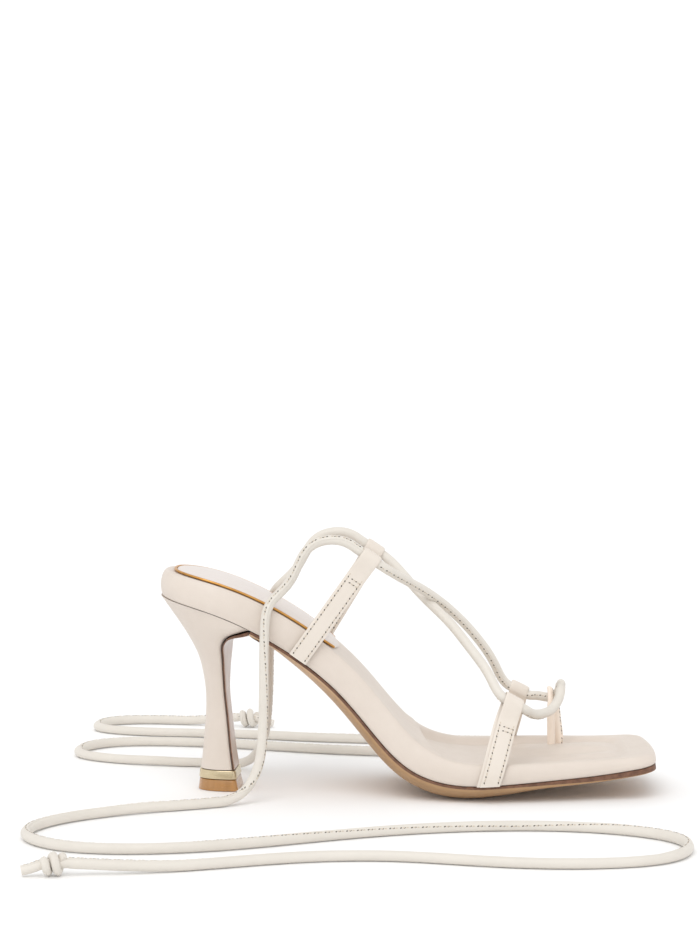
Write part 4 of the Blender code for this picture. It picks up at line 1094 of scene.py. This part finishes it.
def loft(rows, count):
    """Rows of points joined by smooth curves, as count rows."""
    rows = np.array(rows)
    knots = np.concatenate([[0.0], np.cumsum(np.linalg.norm(np.diff(rows, axis=0), axis=2).mean(axis=1))])
    curve = Smooth(knots, rows.reshape(len(rows), -1))
    return curve(np.linspace(0, knots[-1], count)).reshape(count, -1, 3)


print("heel sections:", len(HEEL_ROWS), "points in each:", len(D_TURN) + len(BREAST_SHARES))

# %% Heel
shape = Shape()
sections = loft([heel_seat(), *(d_section(*row) for row in HEEL_ROWS)], HEEL_STATIONS)
shape.tube([shape.add(soften(ring, 3)) for ring in sections])
shape.make("heel", [COVER_LEATHER], sharp=50)

# %% [markdown]
# ## The breast cover
# The front of the heel is faced with a thin brown sheet that runs up to the outsole. Its cut edge is
# inked like the sole's, and it thickens at its lip, so that sheet and sole meet in one smooth arch. It
# is made from rows across, each with a front and a back, along the same sections as the heel.

# %% Breast cover
COVER_THICK = 0.8
COVER_LIP = 1.2
COVER_LIP_ROWS = 14
COVER_INSET = 0.6
COVER_START = 0.06
across = np.linspace(1, -1, 15)
# The sheet is thinner at its two cut edges
COVER_BODY = 1 - 0.3 * np.abs(across)[:, None] ** 14


def breast_row(i):
    """Points across the heel's front at section i; the first is the lip under the seat."""
    row = HEEL_ROWS[max(i - 1, 0)]
    y = across * (row[4] - COVER_INSET)
    below = np.stack([row[2] + BREAST_SKEW * y, y + row[5], np.full(len(y), row[3])], axis=1)
    if i > 0:
        return below
    edge = LAST.bend(seat_s + BREAST_SKEW * y, y, -GAP)
    return edge + (below - edge) * COVER_START


rows = loft([breast_row(i) for i in range(len(HEEL_ROWS) + 1)], HEEL_STATIONS)
down = unit(np.gradient(rows[:, len(across) // 2], axis=0))
out = np.stack([-down[:, 2], np.zeros(len(down)), down[:, 0]], axis=1)
out[0] = (LAST.bend(seat_s, 0.0, -1.0) - LAST.bend(seat_s, 0.0, 0.0))[0]
thick = COVER_THICK + COVER_LIP * ease(1 - np.arange(len(rows)) / COVER_LIP_ROWS)
shape = Shape()
rings = []
for row, away, body in zip(rows, out, thick):
    back = row + away * GAP
    front = row + away * (GAP + body * COVER_BODY)
    rings.append(shape.add(np.concatenate([back, front[::-1]])))
count = len(across)
shape.skin([ring[count:] for ring in rings], finish=1)
shape.skin([ring[:count] for ring in rings])
for low, high in ((count - 1, count), (2 * count - 1, 0)):
    shape.skin([(ring[low], ring[high]) for ring in rings])
shape.face(rings[0])
shape.face(rings[-1])
shape.make("heel_breast_cover", [SOLE_INK, BREAST_TAN])

# %% [markdown]
# ## Band and top lift
# A polished pale gold band closes the foot of the heel, and below it the hard plastic top lift takes
# the wear. Both are turned or moulded with small rounded edges, and those edges give the thin
# highlights that tell metal and plastic from paint, so they are built and not only shaded.

# %% Band and lift finishes
BAND = Finish("band_metal", {"Metallic": 1.0})
turned = BAND.noise(BAND.place((0.12, 0.12, 6.0)), 0.5, detail=2.0)
smear = BAND.noise(BAND.place(), 4.0, detail=3.0)
BAND.paint(smear, (223, 209, 180), (197, 179, 142))
BAND.feed("Roughness", 0.12 + smear * 0.16 + turned * 0.06)
BAND.relief(turned, 0.01)

LIFT = Finish("lift_plastic", {"Coat Weight": 0.7, "Coat Roughness": 0.08})
flow = LIFT.noise(LIFT.place((1.0, 1.0, 0.12)), 2.4, detail=3.0)
scuff = LIFT.clamp(LIFT.noise(LIFT.place((0.3, 0.3, 1.6)), 0.8, detail=4.0), 0.62, 0.8)
LIFT.paint(flow, (186, 136, 79), (154, 108, 54))
LIFT.feed("Roughness", 0.25 + scuff * 0.4)
LIFT.relief(flow * 0.3 - scuff, 0.02)
print("band and lift finishes ready")

# %% Band and lift
LIFT_MIDDLE_Y = -1.0
# z, back x, front x and half width at the top and the bottom
BAND_ROWS = ((9.4, -94.8, -77.5, 9.9), (5.4, -95.2, -77.0, 10.2))
LIFT_ROWS = ((5.1, -94.9, -77.3, 10.0), (0.0, -95.6, -76.2, 10.5))


def slab(name, finish, rows, edge):
    """A D-shaped slab whose upper and lower edges are rounded by the radius edge."""
    top, bottom = np.array(rows)
    turn = np.linspace(math.pi / 2, 0.0, 5)
    height = top[0] - bottom[0]
    # Share of the way down, and how far in
    upper = [(edge * (1 - math.sin(a)) / height, edge * (1 - math.cos(a))) for a in turn]
    profile = [*upper, (0.5, 0.0), *((1 - share, inset) for share, inset in upper[::-1])]
    shape = Shape()
    rings = []
    for share, inset in profile:
        z, back, front, half = top + (bottom - top) * share
        section = d_section(back + inset, z, front - inset, z, half - inset, LIFT_MIDDLE_Y)
        rings.append(shape.add(soften(section, 2)))
    shape.tube(rings)
    shape.make(name, [finish], sharp=50)


slab("heel_band", BAND, BAND_ROWS, 0.45)
slab("top_lift", LIFT, LIFT_ROWS, 0.5)

# %% [markdown]
# ## The straps
# Each strap is a strip of leather, folded double: it climbs the outside of the footbed, turns over the
# lace and comes down again behind itself. Two rows of stitches hold its edges and a double row
# crosses it below the loop. The strip's middle line is drawn flat, as height along the strap and
# distance from its middle, and then laid on the strap's path, which leans in towards the foot.

# %% Strap paths
STRAP_LEATHER = leather("strap_leather", (231, 222, 212), (218, 208, 196), 0.5, 0.42)
STRAP_WIDTH = 8.8
STRAP_SEAT_GAP = 0.45
STRAP_FOOT_LIFT = 0.2
STRAP_MIDDLE_OUT = 1.0
STRAP_STATIONS = 120
# Share of the way up, and share of the lean inwards
STRAP_CLIMB = ((0.0, 0.0), (0.12, 0.0), (0.2, 0.04), (0.3, 0.14), (0.45, 0.35), (0.65, 0.62), (0.82, 0.84),
               (1.0, 1.0))
STRIP_THICK = 0.96
STRIP_OFFSET = 0.51
LOOP_RADIUS = 3.05
LOOP_NECK = 9.5
SEW_INSET = 1.3
SEW_TOP = 12.2
STRAP_PITCH = 2.6
CROSS_GAP = 2.0


def strap_path(name):
    """Functions of the height below the eye: the strap's middle, its width direction and its way out."""
    eye = np.array(EYES[name]["eye"])
    side = math.copysign(1.0, eye[1])
    s = LAST.at_x(EYES[name]["base_x"])
    wide = float(LAST.half_width(side, s)[0]) + STRAP_SEAT_GAP + STRAP_MIDDLE_OUT
    foot = LAST.bend(s, side * wide, STRAP_FOOT_LIFT)[0]
    ahead = (LAST.line(s + 2.0) - LAST.line(s - 2.0))[0]
    slopes = math.atan2(-ahead[1], ahead[0]), math.radians(EYES[name]["slope"])
    climb = np.linspace(0, 1, STRAP_STATIONS)
    lean = np.interp(climb, *np.array(STRAP_CLIMB).T)
    lean = np.convolve(np.pad(lean, 6, mode="edge"), np.ones(13) / 13, mode="valid")
    lean[-1] = 1.0
    points = foot + np.outer(climb, eye - foot)
    points[:, 1] = foot[1] + (eye[1] - foot[1]) * lean
    slope = slopes[0] + (slopes[1] - slopes[0]) * climb
    across = np.stack([np.cos(slope), np.zeros(STRAP_STATIONS), -np.sin(slope)], axis=1)
    along = reach(points) - reach(points)[-1]
    up = unit(points[-1] - points[-12])

    def at(height):
        """Middle, width direction and outward direction at a height over the eye (below it negative)."""
        height = np.atleast_1d(height)

        def look_up(rows):
            return np.stack([np.interp(height, along, column) for column in rows.T], axis=1)

        middle = look_up(points) + np.outer(np.maximum(height, 0.0), up)
        wide = unit(look_up(across))
        return middle, wide, side * unit(np.cross(unit(look_up(np.gradient(points, axis=0))), wide))

    return at, -along[0]


def fold_line(length):
    """The folded strip's middle line as (distance out, height): up outside, over the lace, down inside."""
    start = np.array([STRIP_OFFSET, -LOOP_NECK])
    swing = math.atan2(start[1], start[0]) + math.acos(LOOP_RADIUS / np.linalg.norm(start))
    turn = np.linspace(swing, math.pi - swing, 40)
    loop = LOOP_RADIUS * np.stack([np.cos(turn), np.sin(turn)], axis=1)
    leg = np.stack([np.full(2, STRIP_OFFSET), [-length, -LOOP_NECK]], axis=1)
    line = evenly(np.concatenate([leg, loop, leg[::-1] * (-1, 1)]), 0.8)
    for _ in range(10):
        line[1:-1] = (line[:-2] + 2 * line[1:-1] + line[2:]) / 4
    return line


print("strap:", STRAP_WIDTH, "mm wide, two layers of", STRIP_THICK, "mm")

# %% Straps
# How far the layer behind has slipped along the shoe
INNER_SHIFT = {"strap_front_lateral": -1.4}
STRIP_EDGE = np.linspace(0.86, 1, 4)
SECTION_ACROSS = np.concatenate([-STRIP_EDGE[::-1], np.linspace(-0.72, 0.72, 13), STRIP_EDGE])
GROOVE_DEPTH = 0.1
GROOVE_WIDTH = 0.45
STITCH_SEAT = 0.06
CROSS_RAISED = 0.08


def strap(name):
    """One folded strap with its stitches."""
    at, length = strap_path(name)
    line = fold_line(length)
    middle, wide, out = at(line[:, 1])
    inner = ease((np.arange(len(line)) / len(line) - 0.5) * 5)
    centre = middle + out * line[:, :1] + wide * (INNER_SHIFT.get(name, 0.0) * inner)[:, None]
    ahead = unit(np.gradient(centre, axis=0))
    face = unit(np.cross(wide, ahead))
    face *= np.sign(np.sum(face[0] * out[0]))
    half = STRAP_WIDTH / 2
    body = STRIP_THICK / 2 * (1 - np.abs(SECTION_ACROSS) ** 9 * 0.75)
    rows_at = np.abs(SECTION_ACROSS) * half - (half - SEW_INSET)
    groove = GROOVE_DEPTH * bell(rows_at, 0.0, GROOVE_WIDTH)
    shape = Shape()
    rings = []
    for i, (_, height) in enumerate(line):
        pulled = groove * ease((-SEW_TOP + 2 - height) / 4)
        spots = centre[i] + np.outer(SECTION_ACROSS * half, wide[i])
        upper = spots + np.outer(body - pulled, face[i])
        lower = spots - np.outer(body, face[i])
        rings.append(shape.add(np.concatenate([upper, lower[::-1]])))
    shape.tube(rings)
    surface = STRIP_OFFSET + STRIP_THICK / 2 - STITCH_SEAT
    heights = np.arange(-SEW_TOP, -length + 1.0, -STRAP_PITCH)
    ladder = np.linspace(-1, 1, 4)[1:-1] * (half - SEW_INSET)
    for way in (1, -1):
        for edge in (-1, 1):
            stitch_row(shape, at, heights, edge * (half - SEW_INSET), way, surface, True)
        for drop in (0.0, CROSS_GAP):
            level = np.full(len(ladder), -SEW_TOP - drop)
            stitch_row(shape, at, level, ladder, way, surface + CROSS_RAISED, False)
    shape.make(name, [STRAP_LEATHER, *SEWN], sharp=50)


def stitch_row(shape, at, heights, shift, way, surface, lengthwise):
    """A row of stitches on the outer (way 1) or inner face of a strap, shifted from its middle."""
    middle, wide, out = at(heights)
    below = at(heights - 0.5)[0]
    along = unit(middle - below) if lengthwise else wide
    shift = np.broadcast_to(shift, len(heights))
    sew(shape, middle + wide * shift[:, None] + out * way * surface, along, out * way, STRAP_PITCH)


for name in EYES:
    strap(name)

# %% [markdown]
# ## Toe post and lace
# The toe post is a rolled loop that stands between the first two toes, with the lace running through
# it. The lace itself is one long cord: from the rear lateral loop over the instep to the front medial
# loop, round the toe post, and back through the front lateral loop to the rear medial one. Where its halves
# cross, one lies on the other. One continuous route draws it, as a shoemaker would thread it.

# %% Toe post
# The post's leather has its own orange tint, and is painted paler than the straps' as painted light, to
# offset the shade that lace and strap throw on it.
POST_LEATHER_LIT = leather("post_leather_painted_light", (249, 237, 224), (242, 225, 209), 0.5, 0.42)
POST_RADIUS = 1.8
POST_ARCH_RADIUS = 1.1
# Heights between which the leather is thinned to pass over the lace
POST_THINNED = (33.0, 38.0)
POST_NEAR_FOOT = (65.7, 9.6)
POST_FAR_FOOT = (69.6, 14.6)
POST_SINK = 0.6
POST_ROUTE = ((65.6, 9.7, 26.0), (65.5, 10.2, 32.0), (65.3, 12.3, 38.0), (65.4, 15.6, 41.6),
              (65.5, 20.4, 42.3), (67.0, 23.8, 39.4), (68.6, 23.6, 33.2), (69.2, 18.8, 26.5),
              (69.6, 15.2, 22.0))
POST_FACING = ((0.0, (1.0, 0.6, 0.1)), (0.45, (1.0, 0.2, 0.6)), (0.6, (1.0, 0.4, 0.3)),
               (1.0, (1.0, -0.3, 0.2)))
FAR_FROM_EDGE = 30.0


def post_foot(x, y):
    """Where the post ends, a little below the footbed's top."""
    s = np.array([LAST.at_x(x)])
    height = bed_height(s, np.array([y]), FAR_FROM_EDGE)
    return (x, y, float(LAST.bed(s, y, height)[0, 2]) - POST_SINK)


post = route([post_foot(*POST_NEAR_FOOT), *POST_ROUTE, post_foot(*POST_FAR_FOOT)], 1.0)
shape = Shape()
thinned = np.interp(post[:, 2], POST_THINNED, (POST_RADIUS, POST_ARCH_RADIUS))
roll(shape, post, POST_FACING, radius=thinned)
shape.make("toe_post", [POST_LEATHER_LIT, *SEWN])

# %% Lace
LACE_STEP = 1.4
OVER_INSTEP = ((-3.0, -14.5, 97.3), (10.0, -0.6, 88.3), (22.5, 9.0, 77.2), (33.0, 15.2, 65.0),
               (40.3, 19.8, 53.4))
ROUND_POST = ((60.0, 22.2, 38.6), (63.2, 20.6, 38.3), (66.4, 18.7, 38.4), (69.1, 16.4, 41.0),
              (70.2, 12.5, 45.6), (69.6, 8.8, 42.0), (67.8, 5.2, 38.0), (65.0, 1.0, 35.5),
              (61.5, -4.8, 34.9), (57.6, -12.0, 35.5), (54.0, -19.5, 37.4))
BACK_OVER = ((36.0, -20.8, 53.8), (28.0, -14.0, 65.0), (18.0, -6.6, 76.8), (10.0, 0.6, 84.0),
             (-1.5, 14.0, 95.1))
LACE_FACING = ((0.0, (0.3, -1.0, 0.3)), (0.37, (0.2, -1.0, 0.25)), (0.41, (0.1, -0.7, 0.75)),
               (0.455, (0.1, -0.7, 0.75)), (0.468, (-1.0, 0.0, 0.1)), (0.481, (0.2, 0.8, -0.6)),
               (0.53, (-0.6, 0.6, -0.8)), (0.58, (0.1, 0.6, -1.0)), (1.0, (0.3, 1.0, -0.4)))


def through(name, *distances):
    return [past_eye(name, d) for d in distances]


way = route([
    *through("strap_rear_lateral", -EYE_START, EYE_RUN), *OVER_INSTEP,
    *through("strap_front_medial", -EYE_RUN, 0.0, EYE_RUN), *ROUND_POST,
    *through("strap_front_lateral", EYE_RUN, 0.0, -EYE_RUN), *BACK_OVER,
    *through("strap_rear_medial", EYE_RUN, -EYE_START),
], LACE_STEP)
shape = Shape()
roll(shape, way, LACE_FACING)
shape.make("lace", [CORD_LEATHER, *SEWN])
print("lace over the foot:", round(reach(way)[-1]), "mm")

# %% [markdown]
# ## Measure and finish
# The dressed sandal has to fill the same space as its solids, so both boxes are kept side by side.

# %% Measure and finish
boxes = {"solids": SOLID_BOX, "dressed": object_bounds()}
for name, box in boxes.items():
    print(name, [[round(v, 4) for v in corner] for corner in box])
